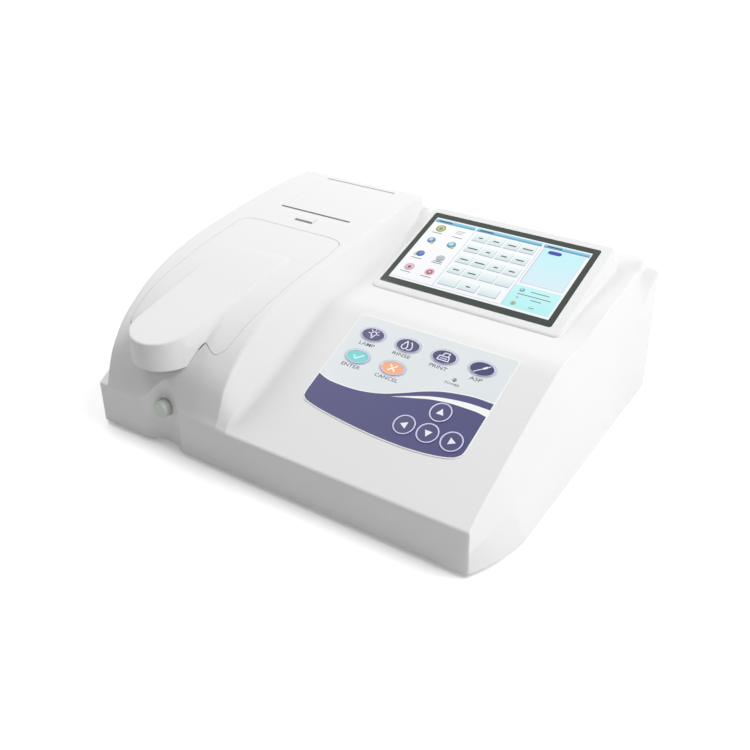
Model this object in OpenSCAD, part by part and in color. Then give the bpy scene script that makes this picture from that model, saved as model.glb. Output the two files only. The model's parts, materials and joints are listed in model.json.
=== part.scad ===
// Benchtop chemistry analyzer with a hinged sample lid, a screen pod, a key panel and a slip printer.
// Body coordinates: x to the right and y to the rear from the front left corner, z up from the edge.
// The whole model is then set on its feet with its origin under the middle of its outline.

/* [Body] */
// Width of the body across its front edge
front_w = 367; // [360:1:374]
// How far each side flares out behind the front edge
flare = 18; // [12:1:20]
// Depth of the body from the front face to the rear face
body_d = 320; // [318:1:324]
// Height of the front face below the deck
band_h = 39; // [36:1:40]
// Wall thickness of the moulded cover
wall = 3; // [2.5:0.1:3.2]
// Height of the rubber feet below the edge of the cover
foot_h = 3; // [2:0.5:6]

/* [Deck and screen] */
// Slope of the deck under the key panel, in degrees
deck_slope = 22.5; // [21:0.5:23]
// Slope of the screen pod, in degrees
pod_slope = 17.5; // [16:0.5:18]
// Width of the visible picture on the screen
lcd_w = 156; // [150:1:157]
// Height of the visible picture on the screen
lcd_h = 90; // [85:1:91]
// Travel of a panel key when it is pressed
key_travel = 0.6; // [0.3:0.1:0.7]
// Length of an oval panel key
key_len = 22; // [18:0.5:24]
// Width of an oval panel key
key_wid = 14; // [12:0.5:16]
// Diameter of a round arrow key
arrow_d = 18.6; // [14:0.2:19]

/* [Sample side] */
// Gap round the sample lid
lid_gap = 0.6; // [0.4:0.1:1]
// Height of the nose rim above the edge of the cover
rim_z = 75; // [72:1:78]
// Diameter of the aspirate button
button_d = 15; // [12:0.5:16]
// Travel of the aspirate button
button_travel = 3; // [2:0.5:4]

/* [Printer] */
// Width of the paper slot
slot_w = 79; // [74:1:80]
// Width of the paper roll
paper_w = 57; // [50:1:60]
// Diameter of the paper roll
paper_d = 40; // [30:1:42]
// Travel of the printer latch
latch_travel = 1.5; // [1:0.5:1.5]

/* [Hidden] */

$fn = 48;
hull_fn = 32;

nose_front = -4;
mid_x = front_w / 2;
mid_y = (body_d + nose_front) / 2;

// Sides of the body at depth y, widest at the end of the front corners and drawn in again to the rear
corner_end = 54;
side_front = [[0, 0], [24, 0.61], [corner_end, 1], [83, 0.97], [122, 0.92]];
left_side = concat(side_front, [[body_d, 0.88]]);
right_side = concat(side_front, [[208, 0.82], [249, 0.74], [body_d, 0.7]]);
function left_x(y) = -flare * lookup(y, left_side);
function right_x(y) = front_w + flare * lookup(y, right_side);

// Height of the deck at depth y, flat under the key panel and stepped up at the rear
plane_end = 142;
function plane_z(y) = band_h + y * tan(deck_slope);
deck_points = [
    [0, band_h], [plane_end, plane_z(plane_end)], [152, 99.3], [186, 100.6],
    [235, 109.6], [285, 117], [300, 119.5], [310, 125], [body_d, 126.5]
];
function deck_z(y) = lookup(y, deck_points);

// Arched top of the sample side at depth y
arch_points = [
    [0, 39.5], [3, 44], [7, 53], [14, 68], [27, 83], [45, 96], [70, 107], [100, 115],
    [135, 121.5], [180, 127.5], [230, 132.5], [280, 136], [body_d, 137]
];
function arch_z(y) = max(lookup(y, arch_points), deck_z(y) + 0.5);

// Left wall of the sample side above the band: its foot on the ledge, and its top edge
foot_points = [[0, 10.4], [12, 8], [45, -3], [80, -10.5], [130, -14], [body_d, -15]];
top_points = [
    [0, 10.5], [3, 8.8], [14, 7.3], [20, 6.5], [32, 4], [50, 1], [78, -5], [121, -12], [160, -14.4],
    [235, -14.4], [287, -13], [body_d, -11]
];
function wall_foot(y) = lookup(y, foot_points);
function wall_top(y) = lookup(y, top_points);

// Right top edge of the deck, how far the rear shoulder has formed, and the right wall of the sample side
deck_edge_in = [[0, 0.5], [18, 2.3], [45, 3], [100, 4], [138, 3.7], [body_d, 1.8]];
function deck_edge(y) = front_w - lookup(y, deck_edge_in);
function shoulder(y) = max(0, min(1, (y - 250) / 70));
shoulder_z = 118.5;
shoulder_x = front_w + 10.5;
block_x = 134;
block_foot = 11;

function mix(a, b, t) = a + (b - a) * t;

// The last point of each cross-section lies on or below the bottom line, in sight of all its other points
fan_point = 150;

// One cross-section of the cover at depth y, drawn in by t on every side: up the left wall, over the arch,
// down to the deck and out over the right edge, which turns into a shoulder at the rear
function section(y, t) =
    let(
        back = t > 0 ? y - t : y,
        drop = t > 0 ? t * 0.85 : 0,
        zd = deck_z(y) - t * 1.03,
        za = max(arch_z(back) - drop, zd + 0.4),
        h = za - zd,
        xl = left_x(y) + t,
        zl = t > 0 ? band_h - t : band_h,
        zb = min(zl, za - 0.35),
        soft = min(1, 0.3 + y / 80),
        zt = max(zb + 0.1, za - 4.2 * soft),
        xf = max(wall_foot(y), left_x(y) + 1) + t,
        xt = max(wall_top(y) + t, left_x(y) + 1.4 + t, xf + zb + 0.05 - zt),
        xe = deck_edge(y) - t,
        k = shoulder(y),
        xb = block_x - t,
        xw = xb + mix(block_foot, 1.5, k),
        xr = right_x(y) - t,
        zm = mix(0.5 * zd, shoulder_z - t, k),
        xm = mix(mix(xr, xe, 0.5), shoulder_x - t, k),
        bottom = t > 0 ? -1 : 0
    )
    [
        [xl, bottom],
        [xl + 0.2, zb - 0.8],
        [xl + 0.8, zb],
        [xf, zb + 0.05],
        [xt, zt],
        [xt + 1.2 * soft, max(zb + 0.15, za - 1.2 * soft)],
        [xt + 4 * soft, max(zb + 0.2, za)],
        [xb - mix(7, 1.5, k), za],
        [xb - mix(2.4, 0.4, k), za - min(mix(0.7, 0.3, k), h * 0.1)],
        [xb, za - min(mix(3, 1.2, k), h * 0.3)],
        [xb + min(mix(4.5, 0.6, k), h * 0.11), zd + min(7, h * 0.45)],
        [xw - mix(3.6, 0.5, k), zd + min(1.6, h * 0.15)],
        [xw + 1, zd],
        [xe - 4, zd],
        [xe - 1.1, zd - 0.5],
        [xe + 0.4, zd - mix(2, 7.2, k)],
        [xm, zm],
        [xr, bottom],
        [fan_point, 60 * bottom]
    ];

function section_3d(y, t) = [for (p = section(y, t)) [p[0], y, p[1]]];

stations = [
    0, 3, 5, 7, 10, 14, 20, 27, 36, 45, corner_end, 70, 85, 100, 117, 135,
    plane_end, 152, 168, 186, 210, 235, 260, 285, 300, 310, body_d
];
inner_stations = [for (y = stations) if (y > wall + 0.5 && y < body_d - wall - 0.5) y];

// Solid through a row of rings that all have the same number of points, its ends fanned from the last point
module loft(rings) {
    n = len(rings[0]);
    m = len(rings);
    polyhedron(
        points = [for (r = rings) each r],
        faces = concat(
            [for (j = [0:n - 3]) [n - 1, j, j + 1]],
            [for (j = [0:n - 3]) [m * n - 1, (m - 1) * n + j + 1, (m - 1) * n + j]],
            [for (i = [0:m - 2], j = [0:n - 1]) [i * n + j, (i + 1) * n + j, (i + 1) * n + (j + 1) % n]],
            [for (i = [0:m - 2], j = [0:n - 1]) [i * n + j, (i + 1) * n + (j + 1) % n, i * n + (j + 1) % n]]
        )
    );
}

module placed() {
    translate([-mid_x, -mid_y, foot_h]) children();
}

// Prism whose outline is drawn in the y-z plane, from x0 to x1
module side_prism(x0, x1) {
    translate([x0, 0, 0]) rotate([90, 0, 90]) linear_extrude(x1 - x0) children();
}

// Frame on the key plane: x across, y up the slope from the front edge, z out of the deck
module on_deck() {
    translate([0, 0, band_h]) rotate([deck_slope, 0, 0]) children();
}

// Frame on the pod's top plane, measured up its slope
pod_z0 = 44;
module on_pod() {
    translate([0, 0, pod_z0]) rotate([pod_slope, 0, 0]) children();
}

module rounded_box(size, r) {
    linear_extrude(size[2]) hull() {
        for (x = [r, size[0] - r], y = [r, size[1] - r]) translate([x, y]) circle(r, $fn = hull_fn);
    }
}

module box(lo, hi) {
    translate(lo) cube(hi - lo);
}

module rod_x(x0, x1, y, z, r) {
    translate([x0, y, z]) rotate([0, 90, 0]) cylinder(h = x1 - x0, r = r);
}

module rod_y(y0, y1, x, z, r) {
    translate([x, y0, z]) rotate([-90, 0, 0]) cylinder(h = y1 - y0, r = r);
}

module rod_z(z0, z1, x, y, r) {
    translate([x, y, z0]) cylinder(h = z1 - z0, r = r);
}

module ellipse(a, b) {
    polygon([for (t = [0:15:345]) [a * cos(t), b * sin(t)]]);
}

// Arch outline in the y-z plane between two depths, lowered by drop at its top and thick deep
function arch_line(y0, y1, drop) = concat(
    [[y0, arch_z(y0) - drop]],
    [for (p = arch_points) if (p[0] > y0 && p[0] < y1) [p[0], p[1] - drop]],
    [[y1, arch_z(y1) - drop]]
);
function reversed(list) = [for (i = [len(list) - 1:-1:0]) list[i]];

// Sample lid
lid_left = 9.5;
lid_right = 125;
lid_rear = 197;
lid_axis = [186, 126.2];
lid_pin_r = 1;
barrel_r = 2.5;
pin_r = 1.2;
pin_play = 0.05;
lid_t = 3;
nose_x = 63.5;
nose_r = 28;
nose_join = 37;

// Plan of the lid, with a small wave in its front edge on both sides of the nose
lid_plan = [
    [lid_left, 70], [lid_left + 2, 50], [lid_left + 5, 38], [lid_left + 10, 33.5], [lid_left + 16, 34],
    [lid_left + 22, nose_join], [95, nose_join], [99.5, 36.1], [105.4, 33.2], [112, 31.7],
    [117.2, 34.7], [120.2, 41],
    [lid_right - 2.7, 66], [lid_right, 140], [lid_right + 1.4, 170], [lid_right + 0.2, 181],
    [lid_right - 0.2, 188.3], [lid_right - 4.5, 193.6], [lid_right - 11, 196.2], [lid_right - 20, lid_rear],
    [lid_left + 22, lid_rear], [lid_left + 13, 196.4], [lid_left + 5.5, 194],
    [lid_left + 1, 190.4], [lid_left - 0.8, 187]
];

module lid_outline(gap) {
    offset(delta = gap) polygon(lid_plan);
}

// Nose outline: round front end, straight sides that open slightly to the rear
module nose_outline(grow) {
    hull() {
        translate([nose_x, nose_r + nose_front, 0]) circle(nose_r + grow, $fn = 64);
        translate([nose_x - 36 - grow, 150]) square([72 + 2 * grow, 1]);
    }
}

nose_top = 100;
nose_rise = 0.16;
module nose_top_cut(drop) {
    side_prism(-50, 200) polygon([
        [-60, nose_top - 60 * nose_rise - drop], [200, nose_top + 200 * nose_rise - drop],
        [200, 260], [-60, 260]
    ]);
}

module lid_slab(drop, thick) {
    side_prism(lid_left - 2, lid_right + 4)
        polygon(concat(arch_line(30, lid_rear, drop), reversed(arch_line(30, lid_rear, drop + thick))));
}

// Space below the arch, kept clear of the nose
module below_arch(drop) {
    side_prism(-30, 170)
        polygon(concat(arch_line(4, body_d, drop), [[body_d, -20], [4, -20]]));
}

module sample_lid() {
    color("#eeefec") placed() difference() {
        union() {
            intersection() {
                lid_slab(0, lid_t);
                translate([0, 0, 60]) linear_extrude(100) lid_outline(0);
            }
            difference() {
                translate([0, 0, rim_z]) linear_extrude(60) nose_outline(0);
                nose_top_cut(0);
                intersection() {
                    below_arch(-lid_gap);
                    box([0, -20, 0], [200, nose_join, 200]);
                }
                below_arch(lid_t / 2);
                box([0, 130, 0], [200, 200, 200]);
            }
            box(
                [lid_left + 6, lid_axis[0] - 2.4, lid_axis[1] - 2.6],
                [lid_right - 7, lid_axis[0] + 2.4, lid_axis[1] + 0.6]
            );
        }
        difference() {
            translate([0, 0, rim_z - 1]) linear_extrude(60) nose_outline(-2.6);
            nose_top_cut(2.6);
            box([0, 112, 0], [200, 300, 300]);
        }
        rod_x(0, 140, lid_axis[0], lid_axis[1], lid_pin_r + pin_play);
    }
}

// Cover
niche_plan = [
    [44, -1], [46, 0], [52, 0.7], [58, 2.3], [64, 4], [70, 5], [76, 5.2], [82, 4.5], [87, 3.2], [91, 1.7],
    [93.5, 0], [94, -1]
];
niche_top = 66;
button_x = 72;
button_z = 35;

module niche(grow) {
    translate([0, -grow * 0.2, -1])
        linear_extrude(niche_top + 1 + grow, scale = [1, 2.1], slices = 3, $fn = 3)
            offset(delta = grow) polygon(niche_plan);
}

// Screen: its glass and picture, measured on the pod's plane
glass_w = 167.3;
glass_h = 104.2;
pod_lo = [162.5, 193];
pod_hi = [343, 313.5];
glass_lo = [165.9, 201];
lcd_lo = [171.5, 208.6];
glass_ledge = 3;

// Key panel, measured on the deck's plane
panel_lo = [183.1, 54];
panel_hi = [332.6, 152];

// Printer door, the paper slot in front of it and the recess of its latch
door_x = 66.25;
door_edge = 1.25;
door_lo = [door_x - slot_w / 2 - door_edge, 232.8];
door_hi = [door_x + slot_w / 2 + door_edge, 310.5];
slot_depth = 2.6;
latch_lo = [56.5, 213.5];
latch_hi = [76.5, 221.3];
latch_gap = 0.3;
recess_lo = [latch_lo[0] - latch_gap, latch_lo[1] - latch_travel - latch_gap];
recess_hi = [latch_hi[0] + latch_gap, latch_hi[1] + latch_gap];

// Recess of the rear panel
rear_lo = [158, 10];
rear_hi = [356, 96];

module cover_shell() {
    difference() {
        loft([for (y = stations) section_3d(y, 0)]);
        loft([for (y = concat([wall], inner_stations, [body_d - wall])) section_3d(y, wall)]);
    }
}

lip = 8;
recess_floor = 306;
panel_screws = [[162, 20], [162, 86], [250, 92], [352, 20], [352, 86]];

module rear_recess_frame() {
    difference() {
        box([rear_lo[0] - wall, recess_floor - wall, rear_lo[1] - wall],
            [rear_hi[0] + wall, body_d - 1, rear_hi[1] + wall]);
        box([rear_lo[0] + lip, 290, rear_lo[1] + lip], [rear_hi[0] - lip, body_d, rear_hi[1] - lip]);
        for (p = panel_screws) rod_y(290, body_d, p[0], p[1], 1.6);
    }
}

// Openings under the key overlay, in the key plane
window_right = 329.9;
module key_windows() {
    translate([0, 0, -8]) linear_extrude(16) {
        polygon([[187.6, 96], [window_right, 96], [window_right, 146], [187.6, 146]]);
        polygon([[264.6, 51.8], [322.6, 51.8], [window_right, 58.5], [window_right, 97], [264.6, 97]]);
    }
}

module top_cover() {
    color("#f0f1ee") placed() difference() {
        union() {
            cover_shell();
            intersection() {
                loft([for (y = stations) section_3d(y, 0)]);
                niche(wall);
                box([30, -5, 2], [110, 30, 70]);
            }
            difference() {
                rod_y(8, 24, button_x, button_z, button_d / 2 + 2.4);
                box([0, 0, -10], [200, 8.5, 100]);
            }
            rear_recess_frame();
            for (x = [2, 120])
                box([x, lid_axis[0] - 4, lid_axis[1] - 4.5], [x + 11, lid_axis[0] + 4, lid_axis[1]]);
        }
        rod_x(4, 129.5, lid_axis[0], lid_axis[1], lid_pin_r + pin_play);
        niche(0);
        rod_y(-5, 40, button_x, button_z, button_d / 2 + 0.4);
        translate([0, 0, 60]) linear_extrude(100) lid_outline(lid_gap);
        on_deck() key_windows();
        on_pod() box(
            [glass_lo[0] + 2, glass_lo[1] + 2, -40],
            [glass_lo[0] + glass_w - 2, glass_lo[1] + glass_h - 2, 9]
        );
        box([door_lo[0] - 0.35, door_lo[1] - slot_depth, 110], [door_hi[0] + 0.35, door_hi[1] + 0.5, 150]);
        box([recess_lo[0], recess_lo[1], 110], [recess_hi[0], recess_hi[1], 150]);
        box([rear_lo[0], recess_floor, rear_lo[1]], [rear_hi[0], body_d + 5, rear_hi[1]]);
    }
}

// Places of the rear fittings
fan_x = 214;
fan_z = 50;
waste_x = 174;
waste_z = 66;
port_x = 265.5;
port_z = [32, 56];
switch_x = 297;
switch_z = 40;
inlet_x = 330;
inlet_z = 42;

// Base plate and feet
plate_z = 1;
plate_t = 1.5;
plate_top = plate_z + plate_t;
plate_inset = 6.5;
plate_flange = 5;
plate_ys = [14, 30, corner_end, 122, 208, 249, body_d - 6];
module plate_outline(inset) {
    polygon(concat(
        [for (y = plate_ys) [right_x(y) - inset, y]],
        [for (y = reversed(plate_ys)) [left_x(y) + inset, y]]
    ));
}
fixing_x = 140;
fixing_y = 100;
foot_spots = [[26, 34], [341, 34], [8, 290], [359, 290]];

module base_plate() {
    color("#b9bdc0") placed() difference() {
        union() {
            translate([0, 0, plate_z]) linear_extrude(plate_t) plate_outline(plate_inset);
            difference() {
                translate([0, 0, plate_z]) linear_extrude(plate_flange) plate_outline(plate_inset);
                linear_extrude(plate_flange + 2) plate_outline(plate_inset + plate_t);
            }
        }
        for (sx = [-1, 1], sy = [-1, 1])
            rod_z(-5, 12, mid_x + sx * fixing_x, mid_y + sy * fixing_y, 2.6);
        for (x = [150:14:304]) box([x, 214, -1], [x + 5, 274, 5]);
    }
}

module rubber_feet() {
    color("#3a3a3c") placed() for (p = foot_spots) translate([p[0], p[1], -foot_h])
        rotate_extrude()
            polygon([[0, 0], [8.6, 0], [9.4, 0.8], [10, foot_h + plate_z], [0, foot_h + plate_z]]);
}

panel_gap = 0.3;
panel_t = 1.5;
module rear_panel() {
    color("#c9cccd") placed() difference() {
        box(
            [rear_lo[0] + panel_gap, recess_floor, rear_lo[1] + panel_gap],
            [rear_hi[0] - panel_gap, recess_floor + panel_t, rear_hi[1] - panel_gap]
        );
        for (p = panel_screws) rod_y(300, 312, p[0], p[1], 1.7);
        for (k = [-4:4]) let(z = k * 6, w = sqrt(27 * 27 - z * z))
            box([fan_x - w, 300, fan_z + z - 1.6], [fan_x + w, 312, fan_z + z + 1.6]);
        rod_y(300, 312, waste_x, waste_z, 4.1);
        for (z = port_z) box([port_x - 10, 300, z - 5], [port_x + 10, 312, z + 5]);
        box([switch_x - 8.6, 300, switch_z - 12.6], [switch_x + 8.6, 312, switch_z + 12.6]);
        box([inlet_x - 13.8, 300, inlet_z - 14.8], [inlet_x + 13.8, 312, inlet_z + 14.8]);
    }
}

module case_screws() {
    color("#9a9da0") placed() for (p = panel_screws)
        translate([p[0], recess_floor + panel_t, p[1]]) rotate([-90, 0, 0]) {
            difference() {
                rotate_extrude() polygon([[0, 0], [2.9, 0], [2.6, 1.2], [1.6, 1.8], [0, 1.9]]);
                translate([-1.7, -0.35, 1]) cube([3.4, 0.7, 2]);
                translate([-0.35, -1.7, 1]) cube([0.7, 3.4, 2]);
            }
            translate([0, 0, -6]) cylinder(h = 6.5, r = 1.5);
        }
}

// Sample compartment
well_x = [13, 122];
well_y = [39, 201];
well_floor = 62;
well_t = 2.5;
holder_x = [50, 86];
holder_y = [95, 125];
beam_y = 110;
beam_z = 46;
arm_x = nose_x;
arm_z = 91.6;
probe_y = 9;
legs = [[20, 50], [115, 50], [20, 182], [115, 182]];

module sample_well() {
    color("#dfe1de") placed() difference() {
        union() {
            difference() {
                box([well_x[0], well_y[0], well_floor], [well_x[1], well_y[1], 130]);
                box(
                    [well_x[0] + well_t, well_y[0] + well_t, well_floor + well_t],
                    [well_x[1] - well_t, well_y[1] - well_t, 131]
                );
                side_prism(0, 140) polygon(concat(arch_line(20, body_d, 5.2), [[body_d, 180], [20, 180]]));
                box([0, 172, 109], [140, 210, 140]);
            }
            for (p = legs) rod_z(plate_top, well_floor + 1, p[0], p[1], 4);
        }
        box([holder_x[0] - 0.5, holder_y[0] - 0.5, 50], [holder_x[1] + 0.5, holder_y[1] + 0.5, 70]);
        rod_z(50, 70, 62, 82, 4);
    }
}

module hinge_pins() {
    color("#b4b7ba") placed() {
        rod_x(4.5, 129, lid_axis[0], lid_axis[1], lid_pin_r);
        rod_x(28, 106, door_axis[0], door_axis[1], pin_r);
    }
}

cell_w = 12.3;
cell_port = 3.4;
cell_x = 68;
cell_z = 41;
pocket = cell_w / 2 + 0.1;
module cell_holder() {
    color("#aeb2b5") placed() difference() {
        union() {
            box([holder_x[0], holder_y[0], 30], [holder_x[1], holder_y[1], 78]);
            box([holder_x[0] + 4, holder_y[0] + 4, plate_top], [holder_x[1] - 4, holder_y[1] - 4, 30]);
        }
        box([cell_x - pocket, beam_y - pocket, cell_z], [cell_x + pocket, beam_y + pocket, 90]);
        rod_x(40, 100, beam_y, beam_z, 4);
        for (z = [60, 66, 72]) difference() {
            box([holder_x[0] - 1, holder_y[0] - 1, z], [holder_x[1] + 1, holder_y[1] + 1, z + 2]);
            box([holder_x[0] + 3, holder_y[0] + 3, z - 1], [holder_x[1] - 3, holder_y[1] - 3, z + 3]);
        }
    }
}

module flow_cell() {
    color("#d8eef2") placed() {
        translate([cell_x - cell_w / 2, beam_y - cell_w / 2, cell_z]) cube([cell_w, cell_w, 40]);
        for (s = [-1, 1]) rod_z(cell_z + 39, cell_z + 45, cell_x + s * cell_port, beam_y, 1.2);
    }
}

module probe_arm() {
    color("#c4c7c9") placed() difference() {
        union() {
            box([arm_x - 6, 52, well_floor + well_t], [arm_x + 6, 66, arm_z]);
            box([arm_x - 5, 5, arm_z], [arm_x + 5, 66, arm_z + 5]);
            rod_z(arm_z - 6, arm_z + 6, arm_x, probe_y, 3.5);
        }
        rod_z(80, 105, arm_x, probe_y, 1.25);
        rod_y(55, 70, arm_x, arm_z - 2, 1.55);
    }
}

module sipper_probe() {
    color("#c8ccd0") placed() difference() {
        rod_z(rim_z + 2, arm_z + 6.5, arm_x, probe_y, 1.2);
        rod_z(rim_z + 1, arm_z + 7, arm_x, probe_y, 0.6);
    }
}

// Round tube swept along hand-set points, smoothed into one curve
function spline(p, t) =
    let(
        n = len(p) - 1,
        i = min(n - 1, floor(t)),
        u = t - i,
        a = p[max(0, i - 1)],
        b = p[i],
        c = p[i + 1],
        d = p[min(n, i + 2)]
    )
    0.5 * (2 * b + (c - a) * u + (2 * a - 5 * b + 4 * c - d) * u * u + (3 * b - a - 3 * c + d) * u * u * u);
function unit(v) = v / norm(v);
tube_sides = 8;
module tube(points, r, steps) {
    n = len(points) - 1;
    path = [for (i = [0:n * steps]) spline(points, i / steps)];
    m = len(path) - 1;
    tangents = [for (i = [0:m]) unit(path[min(m, i + 1)] - path[max(0, i - 1)])];
    first = unit(cross(tangents[0], abs(tangents[0][2]) > 0.8 ? [1, 0, 0] : [0, 0, 1]));
    // Each ring's side vector is the last one turned square to the new direction
    sides = [
        for (i = 0, s = first; i <= m; i = i + 1, s = i <= m ? unit(s - s * tangents[i] * tangents[i]) : s) s
    ];
    turns = [for (k = [0:tube_sides - 1]) k * 360 / tube_sides];
    loft([
        for (i = [0:m])
            let(u = sides[i], v = cross(tangents[i], u))
            [for (a = turns) path[i] + r * (cos(a) * u + sin(a) * v)]
    ]);
}

// Peristaltic pump
pump_x = 50;
pump_z = 34;
pump_y = [232, 254];
roller_r = 4.5;
roller_at = 14.5;
track_r = 21;
tube_r = 1.5;

module pump_housing() {
    color("#e3e5e3") placed() difference() {
        box([pump_x - 28, pump_y[0], plate_top], [pump_x + 28, pump_y[1] + 4, pump_z + 27]);
        rod_y(pump_y[0] - 1, pump_y[1], pump_x, pump_z, track_r + tube_r + 0.3);
        rod_y(pump_y[1] - 1, pump_y[1] + 5, pump_x, pump_z, 3.3);
        for (x = [pump_x - track_r, pump_x + track_r])
            box([x - 2.2, pump_y[0] - 1, pump_z], [x + 2.2, pump_y[1], pump_z + 30]);
    }
}

module pump_rotor() {
    color("#5b6066") placed() {
        rod_y(pump_y[0] + 2, pump_y[0] + 5, pump_x, pump_z, 17);
        rod_y(pump_y[1] - 6, pump_y[1] - 3, pump_x, pump_z, 17);
        rod_y(pump_y[0] + 2, pump_y[1] + 14, pump_x, pump_z, 3);
        for (a = [90, 210, 330]) let(x = pump_x + roller_at * cos(a), z = pump_z + roller_at * sin(a))
            rod_y(pump_y[0] + 5, pump_y[1] - 6, x, z, roller_r);
    }
}

module pump_motor() {
    color("#8d9094") placed() difference() {
        union() {
            rod_y(pump_y[1] + 4, pump_y[1] + 34, pump_x, pump_z, 15);
            box([pump_x - 16, pump_y[1] + 20, plate_top], [pump_x + 16, pump_y[1] + 24, pump_z]);
        }
        rod_y(pump_y[1], pump_y[1] + 16, pump_x, pump_z, 3.05);
    }
}

// Run from the probe to the cell, then from the cell round the pump to the waste fitting
probe_run = [
    [arm_x, 60, arm_z - 2], [arm_x, 66, arm_z - 2], [arm_x, 76, 90.4], [63.6, 90, 94], [64.4, 103, 95],
    [cell_x - cell_port, beam_y, 91.5], [cell_x - cell_port, beam_y, 88.5],
    [cell_x - cell_port, beam_y, cell_z + 45]
];
cell_run = [
    [cell_x + cell_port, beam_y, cell_z + 45], [cell_x + cell_port, beam_y, 88.5],
    [cell_x + cell_port, beam_y, 91.5], [72, 104, 95.5], [70, 92, 88],
    [64, 84, 76], [62, 82, 64], [62, 82, 50], [63, 81, 30], [72, 80, 13], [88, 88, 8],
    [97, 110, 7], [99, 160, 7], [95, 215, 8], [87, 237, 22], [83, 243, 45], [82, 243, 64],
    [76.5, 243, 70], [pump_x + track_r, 243, 64]
];
waste_run = [
    [pump_x - track_r, 243, 64], [31, 250, 69.5], [50, 268, 69.5], [100, 272, 69.5], [150, 266, 69],
    [168, 266, 67], [waste_x, 276, waste_z], [waste_x, 283, waste_z], [waste_x, 288, waste_z]
];
module silicone_tubing() {
    track_in = [pump_x + track_r, 243, 50];
    track_out = [pump_x - track_r, 243, 50];
    track_loop = [for (a = [0:-20:-180]) [pump_x + track_r * cos(a), 243, pump_z + track_r * sin(a)]];
    color("#e6ddd0") placed() {
        tube(probe_run, tube_r, 3);
        tube(
            concat(cell_run, [track_in], track_loop, [track_out], waste_run),
            tube_r, 2
        );
    }
}

// Optics along one beam
wheel_x = 130;
wheel_y = 134;
wheel_r = 33;
filter_at = wheel_y - beam_y;
filter_r = 6;
filter_spots = [for (a = [0:45:315]) [wheel_y + filter_at * cos(a), beam_z + filter_at * sin(a)]];
motor_x = [137, 160];

module filter_wheel() {
    color("#2e3033") placed() difference() {
        union() {
            rod_x(wheel_x, wheel_x + 3, wheel_y, beam_z, wheel_r);
            rod_x(wheel_x - 4, motor_x[0] + 12, wheel_y, beam_z, 2.5);
            rod_x(wheel_x - 3, wheel_x + 6, wheel_y, beam_z, 6);
        }
        for (p = filter_spots) rod_x(wheel_x - 1, wheel_x + 4, p[0], p[1], filter_r);
    }
}

module optical_filters() {
    color("#7fb4c9") placed()
        for (p = filter_spots) rod_x(wheel_x + 0.4, wheel_x + 2.6, p[0], p[1], filter_r + 0.01);
}

module filter_motor() {
    color("#8d9094") placed() difference() {
        union() {
            rod_x(motor_x[0], motor_x[1], wheel_y, beam_z, 12);
            box([motor_x[1], wheel_y - 12, plate_top], [motor_x[1] + 3, wheel_y + 12, beam_z + 10]);
        }
        rod_x(motor_x[0] - 1, motor_x[0] + 14, wheel_y, beam_z, 2.55);
    }
}

lamp_x = [150, 196];
lens_x = [142, 146];
module lamp_housing() {
    color("#a6aaad") placed() difference() {
        union() {
            box([lamp_x[0], beam_y - 12, plate_top], [lamp_x[1], beam_y + 11, beam_z + 18]);
            rod_x(lens_x[0] - 3, lamp_x[0] + 1, beam_y, beam_z, 9.5);
        }
        box([lamp_x[0] + 3, beam_y - 9, 12], [lamp_x[1] - 3, beam_y + 8, beam_z + 20]);
        rod_x(lens_x[0] - 4, lamp_x[0] + 5, beam_y, beam_z, 6);
        rod_x(lens_x[0], lens_x[1], beam_y, beam_z, 8);
        for (x = [156:8:190]) box([x, beam_y - 14, 30], [x + 3, beam_y - 8, 52]);
    }
}

module condenser_lens() {
    color("#dff1f5") placed() intersection() {
        rod_x(lens_x[0] + 0.01, lens_x[1] - 0.01, beam_y, beam_z, 7.99);
        translate([lens_x[0] + 20, beam_y, beam_z]) sphere(20, $fn = 96);
    }
}

module halogen_lamp() {
    color("#e9e4d8") placed() {
        translate([172, beam_y, beam_z]) sphere(5);
        rod_z(22, beam_z, 172, beam_y, 4.4);
        rod_z(12, 22.5, 172, beam_y, 6);
    }
}

module detector_board() {
    color("#2f6b4a") placed() {
        box([30, 88, plate_top], [31.6, 132, 60]);
        rod_x(31.5, 40, beam_y, beam_z, 5);
        box([31.5, 92, 14], [36, 104, 30]);
    }
}

// Slip printer
tub_x = [20, 114];
tub_y = [203, 316];
tub_floor = 74;
platen_yz = [240, 119];
pinion_yz = [228, 110.5];
gear_m = 0.7;
gear_teeth = 28;
pinion_teeth = 14;
roll_yz = [279, 97];
door_axis = [308, arch_z(308) - 2.6];
door_eyes = [40, 90];
eye_w = 4;
eye_gap = 0.3;
bore_r = pin_r + pin_play;
printer_legs = [[24, 208], [110, 208], [24, 311], [110, 311]];

module printer_frame() {
    color("#55595d") placed() difference() {
        union() {
            difference() {
                box([tub_x[0], tub_y[0], tub_floor], [tub_x[1], tub_y[1], 140]);
                box([tub_x[0] + 2, tub_y[0] + 2, tub_floor + 2], [tub_x[1] - 2, tub_y[1] - 2, 141]);
                side_prism(0, 140) polygon(concat(arch_line(180, body_d, 7.2), [[body_d, 180], [180, 180]]));
                box([0, 300, 122], [140, 320, 150]);
            }
            for (x = door_eyes) {
                rod_x(x, x + eye_w, door_axis[0], door_axis[1], barrel_r);
                box([x, door_axis[0] - 2.3, 116], [x + eye_w, door_axis[0] + 2.3, door_axis[1]]);
                box([x, door_axis[0] - 2.3, 112], [x + eye_w, tub_y[1] - 1, 119]);
            }
            rod_x(tub_x[0] + 1, tub_x[1] - 1, roll_yz[0], roll_yz[1], 5.5);
            for (p = printer_legs) rod_z(plate_top, tub_floor + 1, p[0], p[1], 4);
        }
        rod_x(10, 120, platen_yz[0], platen_yz[1], 2.05);
        rod_x(105, 120, pinion_yz[0], pinion_yz[1], 1.6);
        for (x = door_eyes) rod_x(x - 1, x + eye_w + 1, door_axis[0], door_axis[1], bore_r);
    }
}

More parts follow.
